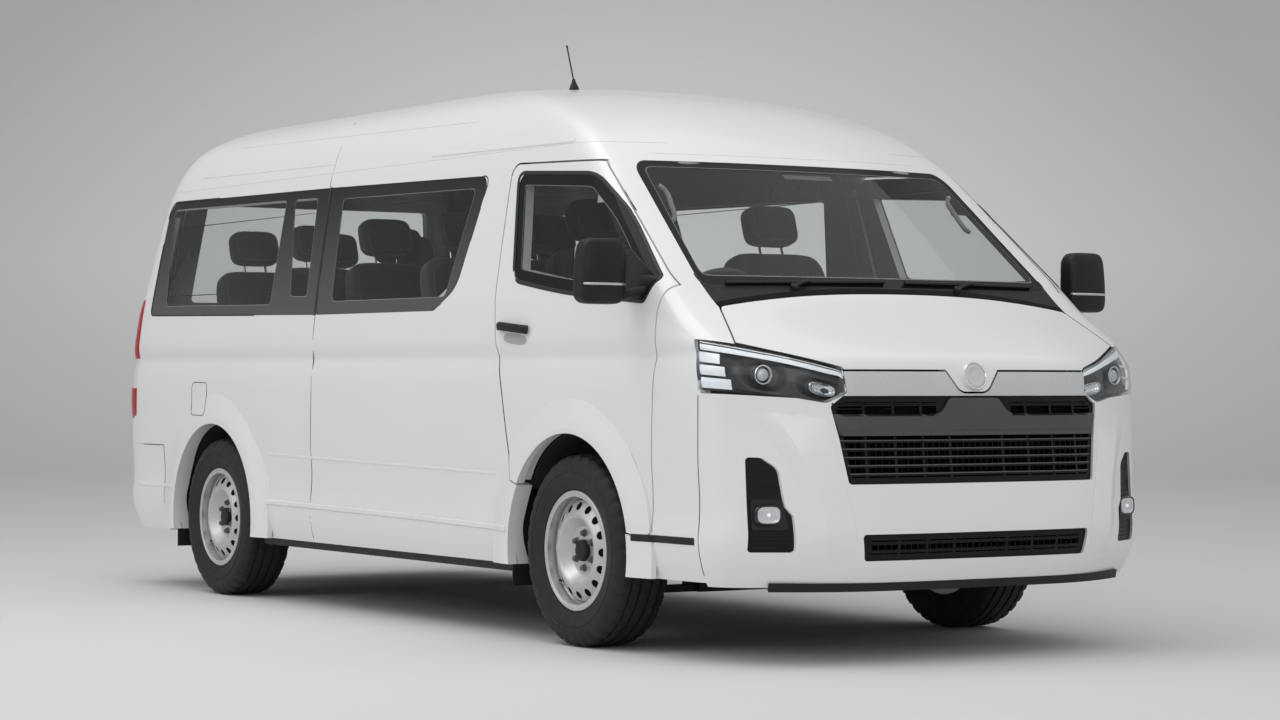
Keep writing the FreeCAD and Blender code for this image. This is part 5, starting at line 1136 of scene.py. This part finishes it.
# Seals, trims and joint lines that lie on the skin
DOOR_RING_MIDDLE = Vector((-1.45, 1.53))
DOOR_RING_RADII = [0.05, 0.07, 0.2, 0.014, 0.014, 0.2, 0.05]
PILLAR_TRIM = round_outline([(-1.672, 1.732), (-1.708, 1.736), (-1.792, 1.664), (-1.758, 1.654)], 0.008, 4)
FRONT_WINDOW = round_outline([(0.7371, 1.8099), (-0.6750, 1.7842), (-0.5724, 1.3420), (-0.4104, 1.2551),
                              (0.6507, 1.2571)], [0.009, 0.055, 0.13, 0.055, 0.009], 6)
REAR_WINDOW = round_outline([(2.4624, 1.8291), (0.7479, 1.8099), (0.6615, 1.2571), (2.4408, 1.2830)],
                            [0.077, 0.009, 0.009, 0.033], 6)
SLIDING_DOOR = round_outline([(-0.7776, 1.8414), (0.7425, 1.8414), (0.6426, 1.2540), (0.6426, 0.3256),
                              (-0.7776, 0.3256)], [0.02, 0.02, 0.4, 0.03, 0.03], 8)
FUEL_FLAP = round_outline([(1.725, 0.815), (1.890, 0.815), (1.890, 0.965), (1.725, 0.965)], 0.025, 5)
BODY_JOINT_LOW = [(0.672, 0.300), (0.648, 0.620), (0.643, 0.893), (0.655, 1.250)]
BODY_JOINT_HIGH = [(0.755, 1.815), (0.765, 1.900), (0.794, 2.025), (0.880, 2.110)]
WINDSCREEN = round_outline([(-0.7935, 1.3170), (0.7935, 1.3170), (0.7212, 1.7980), (-0.7212, 1.7980)],
                           [0.044, 0.044, 0.066, 0.066], 6)
TAIL_WINDOW = round_outline([(-0.7135, 1.3085), (0.7135, 1.3085), (0.6400, 1.8700), (-0.6400, 1.8700)],
                            0.066, 6)


def build_door_seal(side_name, side):
    """The seal a little outside the door window's ring."""
    wider = [tuple(Vector(p) + (Vector(p) - DOOR_RING_MIDDLE).normalized() * 0.004) for p in DOOR_RING]
    tree = tree_of(["front_door_" + side_name, "door_glass_" + side_name])
    hits = laid(on_side, round_outline(wider, DOOR_RING_RADII, 6), 0.015, True, side, tree)
    ribbon("door_window_seal_" + side_name, hits, 0.016, 0.0030, SEAL, "door_" + side_name, closed=True,
           ease=3)


def build_pillar_trim(side_name, side):
    """The small black triangle at the foot of the windscreen pillar."""
    pillar = tree_of(["front_fenders"])
    hits = []
    for y, z in dense(PILLAR_TRIM, 0.01, True):
        place, normal, _, _ = pillar.find_nearest(Vector((side * 0.860, y, z)))
        hits.append((place, normal if normal.x * side > 0 else -normal))
    form = plate_over(hits, ((1.0, -0.001), (1.0, 0.003), (0.8, 0.0036)), 0.0036)
    piece("pillar_trim_" + side_name, *form, BLACK, "body", 35)


def build_seals():
    for side_name, side in SIDES:
        build_door_seal(side_name, side)
        build_pillar_trim(side_name, side)
        step = straight(on_side, (-1.955, 0.425), (-2.315, 0.425), 24, side)
        ribbon("arch_step_" + side_name, step, 0.026, 0.003, BLACK, "body")
        joint = straight(on_side, (-2.3372, 0.31), (-2.3372, 0.93), 40, side)
        ribbon("bumper_joint_" + side_name, joint, 0.0034, 0.0010, SEAL, "body", ease=3)
        rear = straight(on_side, (2.2174, 0.31), (2.2174, 0.67), 24, side)
        rear += straight(on_side, (2.2174, 0.6700), (2.4574, 0.6700), 16, side)[1:]
        ribbon("rear_bumper_joint_" + side_name, rear, 0.0034, 0.0010, SEAL, "body", ease=3)
        gap = straight(on_side, (0.7425, 1.812), (0.6561, 1.255), 24, side)
        ribbon("window_joint_" + side_name, gap, 0.014, 0.0018, BORDER, "body", ease=3)
        for name, ring in (("front", FRONT_WINDOW), ("rear", REAR_WINDOW)):
            hits = laid(on_side, ring, 0.025, True, side)
            ribbon("%s_window_seal_%s" % (name, side_name), hits, 0.006, 0.0012, SEAL, "body", closed=True)
    for name, line in (("low", BODY_JOINT_LOW), ("high", BODY_JOINT_HIGH)):
        hits = laid(on_side, line, 0.03, False, -1)
        ribbon("body_joint_right_" + name, hits, 0.0038, 0.0010, SEAL, "body", ease=3)
    flap = laid(on_side, FUEL_FLAP, 0.02, True, -1)
    ribbon("fuel_flap_joint", flap, 0.0034, 0.0010, SEAL, "body", closed=True, ease=1)
    door = laid(on_side, SLIDING_DOOR, 0.025, True, 1)
    ribbon("sliding_door_joint", door, 0.0045, 0.0004, SEAL, "body", closed=True)
    rail = straight(on_side, (0.70, 1.055), (2.12, 1.055), 60, 1)
    ribbon("sliding_rail", rail, 0.020, 0.0012, BLACK, "body")
    screen = laid(on_front, WINDSCREEN, 0.02, True)
    ribbon("windscreen_seal", screen, 0.010, 0.0018, SEAL, "body", closed=True)
    tail = laid(on_tail, TAIL_WINDOW, 0.02, True)
    ribbon("tail_window_seal", tail, 0.012, 0.002, SEAL, "tail_door", closed=True)


build_seals()


# Pressed lines along the sides, the rear corners and the roof's flanks
PRESSED_LINES = {
    "sill_line": ([(1.100, 0.4420), (0.643, 0.4390), (-0.222, 0.4310), (-1.060, 0.4160)], 0.024, 0.0045),
    "waist_line": ([(1.085, 0.6530), (0.644, 0.6460), (-0.220, 0.6350), (-0.950, 0.6230)], 0.012, 0.0022),
    "corner_line": ([(2.520, 0.4830), (2.393, 0.4800), (2.060, 0.4790)], 0.020, 0.0040),
    "roof_line_high": ([(1.900, 2.0620), (1.723, 2.0600), (0.864, 2.0460), (-0.415, 2.0220)], 0.014, 0.0024),
    "roof_line_low": ([(2.200, 1.9340), (1.546, 1.9260), (0.760, 1.9170)], 0.012, 0.0020),
    "roof_line_front": ([(-0.132, 1.8980), (-0.890, 1.8895), (-1.262, 1.8860)], 0.018, 0.0036),
}


def build_pressed_lines():
    for side_name, side in SIDES:
        for name, (points, width, lift) in PRESSED_LINES.items():
            hits = laid(on_side, points, 0.02, False, side)
            ribbon("%s_%s" % (name, side_name), hits, width, lift, PAINT, "body", ease=2)


build_pressed_lines()


# Pull handles over a cup in painted shade, on the front doors and the sliding door
CUP_RINGS = ((1.0, 0.0003), (0.97, 0.0010), (0.90, 0.0006), (0.45, 0.0008))
GRIP_PROFILE = [(0.0165 * squared(math.cos(TURN * k / 16), 0.7), 0.0070 * math.sin(TURN * k / 16))
                for k in range(16)]
LOCK = [(0.0, 0.006), (0.0085, 0.006), (0.0102, 0.0045), (0.0108, -0.001)]


def build_handle(name, start, end, side, body):
    slope = (end[1] - start[1]) / (end[0] - start[0])
    rim = []
    for k in range(36):
        angle = TURN * k / 36
        y = (start[0] + end[0]) / 2 - 0.008 + squared(math.cos(angle), 0.7) * (end[0] - start[0]) * 0.40
        z = start[1] + slope * (y - start[0]) - 0.040 + squared(math.sin(angle), 0.8) * 0.021
        rim.append(on_side(y, z, side))
    # The cup is a plate barely off the skin; its darker paint is painted shade of a recess
    piece(name + "_cup", *plate_over(rim, CUP_RINGS), SHADED_PAINT, body, 45)
    hits = straight(on_side, start, end, 32, side)
    path = [hit[0] + hit[1] * (0.009 + 0.016 * max(0.0, math.sin(math.pi * k / 32)) ** 0.5)
            for k, hit in enumerate(hits)]
    sweep(name, path, [hit[1] for hit in hits], GRIP_PROFILE, BLACK, body, angle=60)


def build_handles():
    for side_name, side in SIDES:
        build_handle("door_handle_" + side_name, (-1.186, 1.169), (-0.966, 1.186), side, "door_" + side_name)
        lock = revolved(LOCK, 24, *on_side(-0.948, 1.190, side))
        piece("door_lock_" + side_name, *lock, BLACK, "door_" + side_name)
    build_handle("sliding_handle", (-0.700, 1.150), (-0.480, 1.150), 1, "body")


build_handles()


# Mirrors: a housing with a silver strip, glass towards the tail, an arm and the sail plate
SAIL = round_outline([(-2.016, 1.342), (-1.815, 1.462), (-1.850, 1.285), (-1.955, 1.270)], 0.012, 5)


def rounded_front(x, y, z):
    """Draws the front of a mirror's block back towards its ends."""
    return x, y * (1.0 if y > 0 else 1.0 - 0.25 * x * x), z


def housing_shape(x, y, z):
    x_out, y_out, _ = rounded_front(x, y, z)
    return x_out * (1 - 0.05 * z), y_out * (1 - 0.12 * abs(z)), z


def build_mirrors():
    for side_name, side in SIDES:
        body = "door_" + side_name
        centre = Vector((side * 1.1110, -1.938, 1.366))
        head = soft_block(centre, (side * 0.0965, side * 0.012, 0), (0, 0.054, 0), (side * -0.004, 0, 0.1165),
                          5.5, 18, housing_shape)
        piece("mirror_housing_" + side_name, *head, BLACK, body, 60, ["mirror_and_handle_" + side_name])
        strip = soft_block(centre + Vector((0, -0.0022, -0.046)), (side * 0.0960, side * 0.012, 0),
                           (0, 0.0535, 0), (0, 0, 0.0055), 7, 14, rounded_front)
        piece("mirror_strip_" + side_name, *strip, SILVER, body, 60)
        glass = soft_block(centre + Vector((0, 0.0500, 0.010)), (side * 0.080, side * 0.010, 0),
                           (0, 0.0055, 0), (0, 0, 0.088), 9, 12)
        piece("mirror_glass_" + side_name, *glass, MIRROR_GLASS, body, 40)
        place, normal = on_side(-1.965, 1.300, side)
        arm = bezier([place + normal * 0.002, place + Vector((side * 0.040, 0.006, -0.006)),
                      centre + Vector((side * -0.075, 0.005, -0.088)),
                      centre + Vector((side * -0.030, 0, -0.080))], 8)
        tube("mirror_arm_" + side_name, arm, 0.0165, BLACK, body, (0, 1, 0), count=14)
        hits = [hit for hit in laid(on_side, SAIL, 0.012, True, side) if hit]
        form = plate_over(hits, ((1.0, -0.001), (1.0, 0.006), (0.95, 0.0085), (0.5, 0.010)), 0.0105)
        piece("mirror_sail_" + side_name, *form, BLACK, body, 35)


build_mirrors()


# Wipers, antenna and its foot
WIPER_RUNS = (((-0.700, 1.322), (-0.030, 1.334), (-0.440, 1.312)),
              ((0.060, 1.333), (0.700, 1.330), (0.290, 1.314)))
BLADE = [(-0.0045, -0.004), (-0.0015, -0.0105), (0.0015, -0.0105), (0.0045, -0.004), (0.0075, 0.0015),
         (0.0030, 0.0050), (-0.0030, 0.0050), (-0.0075, 0.0015)]
WIPER_ARM = [(-0.0085, -0.003), (-0.0070, 0.004), (0.0070, 0.004), (0.0085, -0.003)]
WIPER_PIVOT = [(0.0, 0.016), (0.010, 0.016), (0.014, 0.012), (0.015, 0.0), (0.016, -0.010)]
ANTENNA_BASE = [(0.0200, -0.002), (0.0205, 0.004), (0.0150, 0.018), (0.0085, 0.032), (0.0060, 0.044),
                (0.0, 0.045)]
ANTENNA_MAST = ([(0.0, -0.004)] + [(0.0026 + 0.0007 * (k % 2), 0.002 + 0.0016 * k) for k in range(91)]
                + [(0.0042, 0.150), (0.0042, 0.158), (0.0, 0.161)])


def lifted(hits, lift):
    """Two rows: the places raised off the skin, and the normals."""
    return [hit[0] + hit[1] * lift for hit in hits], [hit[1] for hit in hits]


def build_wipers():
    for number, (a, b, foot) in enumerate(WIPER_RUNS):
        hits = laid(on_front, [a, b], 0.03)
        sweep("wiper_blade_%d" % number, *lifted(hits, 0.011), BLADE, BLACK, "body", angle=50,
              replaced=["wipers_and_antenna"] if number == 0 else ())
        middle, middle_out = on_front((a[0] + b[0]) / 2, (a[1] + b[1]) / 2)
        base, base_out = on_front(*foot)
        start = base + Vector((0, 0, -0.004)) + base_out * 0.010
        end = middle + middle_out * 0.0165
        path = bezier([start, start.lerp(end, 0.25) + middle_out * 0.010,
                       start.lerp(end, 0.75) + middle_out * 0.006, end], 8)
        sweep("wiper_arm_%d" % number, path, [middle_out] * len(path), WIPER_ARM, BLACK, "body", angle=40)
        pivot = revolved(WIPER_PIVOT, 28, start - base_out * 0.004, base_out)
        piece("wiper_pivot_%d" % number, *pivot, BLACK, "body", 30)


def build_antenna():
    foot = on_top(-0.308, -0.421)[0]
    piece("antenna_base", *revolved(ANTENNA_BASE, 32, foot, (0, 0.10, 0.99)), BLACK, "body", 30)
    mast = revolved(ANTENNA_MAST, 12, foot + Vector((0, 0.004, 0.038)), (0, 0.35, 0.94))
    piece("antenna_mast", *mast, BLACK, "body", 60)


build_wipers()
build_antenna()


# Rear: handle bar with plate lamps, stop lamp, reflectors, a bare plate recess and the wiper
PLATE_RECESS = round_outline([(-0.265, 0.985), (0.265, 0.985), (0.265, 1.110), (-0.265, 1.110)], 0.012, 4)
REAR_PIVOT = [(0.0, 0.026), (0.014, 0.026), (0.020, 0.020), (0.023, 0.0), (0.023, -0.004)]
REAR_BLADE = [(-0.004, -0.010), (0.004, -0.010), (0.008, 0.002), (0.0, 0.006), (-0.008, 0.002)]
REAR_ARM = [(-0.008, -0.003), (0.008, -0.003), (0.006, 0.004), (-0.006, 0.004)]
TAIL_RIBBONS = (
    ("tailgate_grip", -0.34, 0.34, 1.205, 40, 0.060, 0.020, PAINT, "tail_door"),
    ("tailgate_grip_shadow", -0.30, 0.30, 1.172, 40, 0.012, 0.004, BLACK, "tail_door"),
    ("high_stop_lamp", -0.16, 0.16, 1.925, 20, 0.030, 0.010, TAIL_LENS, "tail_door"),
    ("rear_reflector_right", -0.62, -0.75, 0.520, 12, 0.036, 0.0012, TAIL_LENS, "body"),
    ("rear_reflector_left", 0.62, 0.75, 0.520, 12, 0.036, 0.0012, TAIL_LENS, "body"),
    ("bumper_step", -0.70, 0.70, 0.640, 60, 0.055, 0.0010, BLACK, "body"),
)


def build_rear_wiper():
    pivot, pivot_out = on_tail(0.0, 1.262)
    piece("rear_wiper_pivot", *revolved(REAR_PIVOT, 28, pivot, pivot_out), BLACK, "tail_door", 30)
    hits = laid(on_tail, [(-0.055, 1.385), (-0.430, 1.360)], 0.03)
    sweep("rear_wiper_blade", *lifted(hits, 0.012), REAR_BLADE, BLACK, "tail_door", angle=50)
    end, end_out = on_tail(-0.245, 1.372)
    path = bezier([pivot + pivot_out * 0.020, pivot.lerp(end, 0.5) + pivot_out * 0.028,
                   end + end_out * 0.018], 8)
    sweep("rear_wiper_arm", path, [pivot_out] * len(path), REAR_ARM, BLACK, "tail_door", angle=40)


def build_tail():
    for name, start, end, z, count, width, lift, material, body in TAIL_RIBBONS:
        ribbon(name, straight(on_tail, (start, z), (end, z), count), width, lift, material, body)
    recess = laid(on_tail, PLATE_RECESS, 0.02, True)
    ribbon("plate_recess_edge", recess, 0.006, 0.0025, BLACK, "tail_door", closed=True)
    for number, x in enumerate((-0.15, 0.15)):
        place, normal = on_tail(x, 1.172)
        lamp = soft_block(place + normal * 0.008, (0.024, 0, 0), (0, 0.006, 0), (0, 0, 0.0075), 6, 6)
        piece("plate_lamp_%d" % number, *lamp, CLEAR, "tail_door", 50)
    build_rear_wiper()


build_tail()


# Tail lamp covers that stand a little proud round the rear corners
COVER_ROWS, COVER_COLUMNS = 44, 16


def tail_cover(side):
    def inside(share, up):
        angle = math.radians(2 + 78 * share)
        aim = Vector((side * math.cos(angle), math.sin(angle), 0))
        middle = Vector((side * 0.870, 2.565 - 0.030 * (1 - share), 0.800 + 0.566 * up))
        place, _, _, _ = SKIN.ray_cast(middle + aim * 0.5, -aim)
        edge = min(1.0, 6 * min(share, 1 - share), 8 * min(up, 1 - up))
        return (place or middle) + aim * (-0.001 + 0.008 * max(0.0, edge) ** 0.5)

    return patch(inside, COVER_ROWS, COVER_COLUMNS)


for cover_name, cover_side in SIDES:
    piece("tail_cover_" + cover_name, *tail_cover(cover_side), TAIL_LENS, "body", 40)


# The black lip under the front bumper and the black strips under the sills
LIP_PROFILE = [(-0.045, -0.016), (0.012, -0.016), (0.018, -0.006), (0.018, 0.014), (-0.045, 0.014)]
STRIP_PROFILE = [(-0.012, -0.020), (0.012, -0.020), (0.016, -0.012), (0.016, 0.013), (-0.016, 0.013),
                 (-0.016, -0.012)]


def build_under_strips():
    hits = straight(on_front, (-0.76, 0.305), (0.76, 0.305), 90)
    path = [hit[0] + Vector((0, 0.055, -0.026)) for hit in hits if hit]
    lean = Vector((0, -0.2, 1)).normalized()
    sweep("under_lip", path, [lean] * len(path), LIP_PROFILE, BLACK, "body", angle=40)
    for side_name, side in SIDES:
        line = [Vector((side * 0.918, y, 0.272)) for y in spread(-1.03, 1.19, 40)]
        sweep("sill_strip_" + side_name, line, [UPWARD] * len(line), STRIP_PROFILE, BLACK, "body", angle=40)


build_under_strips()


# Seats: crowned pads with stitched edges on their frames
ROW_STARTS = (-0.405, 0.297, 0.999, 1.674)
COLUMN_MIDDLES = (-0.430, 0.0, 0.430)
FRONT_SEAT_START, FRONT_SEAT_SIDE = -1.485, 0.42
SEAT_ALONG = Vector((0, 0.183, 0.60)).normalized()
SEAT_FRONT = Vector((0, -SEAT_ALONG.z, SEAT_ALONG.y))
HIP_HEIGHT = 0.880


def pad_shape(crown, bolster, seams):
    """How a pad's block swells: a crown, raised edges across and pulled-in seams along."""
    def change(x, y, z):
        swell = crown * (1 - x * x) * (1 - y * y)
        lift = bolster * max(0.0, abs(x) - 0.62) / 0.38 * (1 - y ** 4)
        pull = sum(0.16 * math.exp(-((y - seam) / 0.055) ** 2) for seam in seams)
        edge = 0.10 * math.exp(-((abs(x) - 0.60) / 0.05) ** 2) if bolster else 0.0
        wave = 0.012 * math.sin(7 * x + 3 * y) * math.sin(5 * y - 2 * x)
        return x, y, z + (swell + lift - pull - edge + wave) * max(0.0, z)
    return change


def pad_ring(centre, across, deep, high, power, change):
    """The stitched line round a pad's upper face."""
    path = []
    corners = round_outline([(-0.94, -0.94), (0.94, -0.94), (0.94, 0.94), (-0.94, 0.94)], 0.30, 5)
    for x, y in dense(corners, 0.12, True):
        size = (abs(x) ** power + abs(y) ** power + 1) ** (1 / power)
        px, py, pz = change(x / size, y / size, 1 / size)
        path.append(centre + across * px + deep * py + high * pz)
    return path


def build_pad(name, centre, half, deep, high, change, steps=16, replaced=(), power=7.0):
    across = Vector((half, 0, 0))
    block = soft_block(centre, across, deep, high, power, steps, change)
    pad = piece(name, *block, SEAT_CLOTH, "body", 60, replaced)
    ring = pad_ring(centre, across, deep, high, power, change)
    tube(name + "_piping", ring, 0.0032, PIPING, "body", high.normalized(), closed=True, count=6)


def build_seat(tag, x, y0, half, replaced, bolster):
    def spot(ahead, above):
        return Vector((x, y0 + ahead, HIP_HEIGHT + above))

    build_pad("seat_cushion_" + tag, spot(0.262, 0.052), half, Vector((0, 0.266, -0.010)),
              Vector((0, 0, 0.054)), pad_shape(0.30, bolster, (0.30,)), replaced=replaced)
    build_pad("seat_back_" + tag, spot(0.622, 0.325), half * 0.97, SEAT_ALONG * 0.300, SEAT_FRONT * 0.050,
              pad_shape(0.30, bolster, (-0.25, 0.45)))
    build_pad("head_pad_" + tag, spot(0.712, 0.7325), 0.122, SEAT_ALONG * 0.083, SEAT_FRONT * 0.044,
              pad_shape(0.25, 0.0, ()), steps=10, power=4.5)
    for number, step in enumerate((-0.055, 0.055)):
        low = spot(0.690, 0.600) + Vector((step, 0, 0))
        rod = [low, low + SEAT_ALONG * 0.04, low + SEAT_ALONG * 0.08]
        tube("head_rod_%s_%d" % (tag, number), rod, 0.0055, CHROME, "body", (1, 0, 0))


def build_seat_foot(name, x, y, half_width, half_depth):
    foot = soft_block((x, y, 0.742), (half_width, 0, 0), (0, half_depth, 0), (0, 0, 0.138), 16, 8)
    piece(name, *foot, SEAT_FRAME, "body", 40)


def build_seats():
    for side_name, side in SIDES:
        x = side * FRONT_SEAT_SIDE
        first = ["front_seats"] if side < 0 else ()
        build_seat("front_" + side_name, x, FRONT_SEAT_START, 0.238, first, 0.55)
        build_seat_foot("seat_foot_front_" + side_name, x, FRONT_SEAT_START + 0.250, 0.185, 0.190)
    for row, start in enumerate(ROW_STARTS, 1):
        for column, x in enumerate(COLUMN_MIDDLES, 1):
            first = ["rear_seats"] if row == 1 and column == 1 else ()
            build_seat("row%d_%d" % (row, column), x, start, 0.208, first, 0.30)
        build_seat_foot("bench_foot_%d" % row, 0, start + 0.250, 0.560, 0.150)


build_seats()


# Small cabin pieces that show through the windscreen
PILLAR_GRIP = ((0.700, -1.735, 1.560), (0.672, -1.742, 1.572), (0.660, -1.700, 1.625), (0.655, -1.660, 1.672),
               (0.676, -1.640, 1.700))


def build_cabin_mirror():
    hits = straight(on_front, (-0.11, 1.775), (0.11, 1.775), 16)
    path = [hit[0] - hit[1] * 0.012 for hit in hits]
    sweep("mirror_base", path, [-hit[1] for hit in hits], band_profile(0.075, 0.006), GLOSS_BLACK, "body")
    stem = hits[8][0] - hits[8][1] * 0.020
    glass = soft_block(stem + Vector((0, 0.060, -0.060)), (0.115, 0, 0), (0, 0.011, 0.003),
                       (0, -0.008, 0.033), 5, 10)
    piece("cabin_mirror", *glass, BLACK, "body", 50)
    line = bezier([stem, stem + Vector((0, 0.020, -0.020)), stem + Vector((0, 0.052, -0.052))], 5)
    tube("cabin_mirror_stem", line, 0.007, BLACK, "body", (1, 0, 0), count=10)


def build_cabin():
    build_cabin_mirror()
    for side_name, side in SIDES:
        visor = soft_block((side * 0.36, -1.500, 1.800), (0.190, 0, 0), (0, 0.075, 0.012), (0, 0, 0.010),
                           6, 10)
        piece("sun_visor_" + side_name, *visor, LINING, "body", 50)
        grip = bezier([(side * x, y, z) for x, y, z in PILLAR_GRIP], 6)
        tube("pillar_grip_" + side_name, grip, 0.0095, LINING, "body", (0.2, 1, 0.3))


build_cabin()
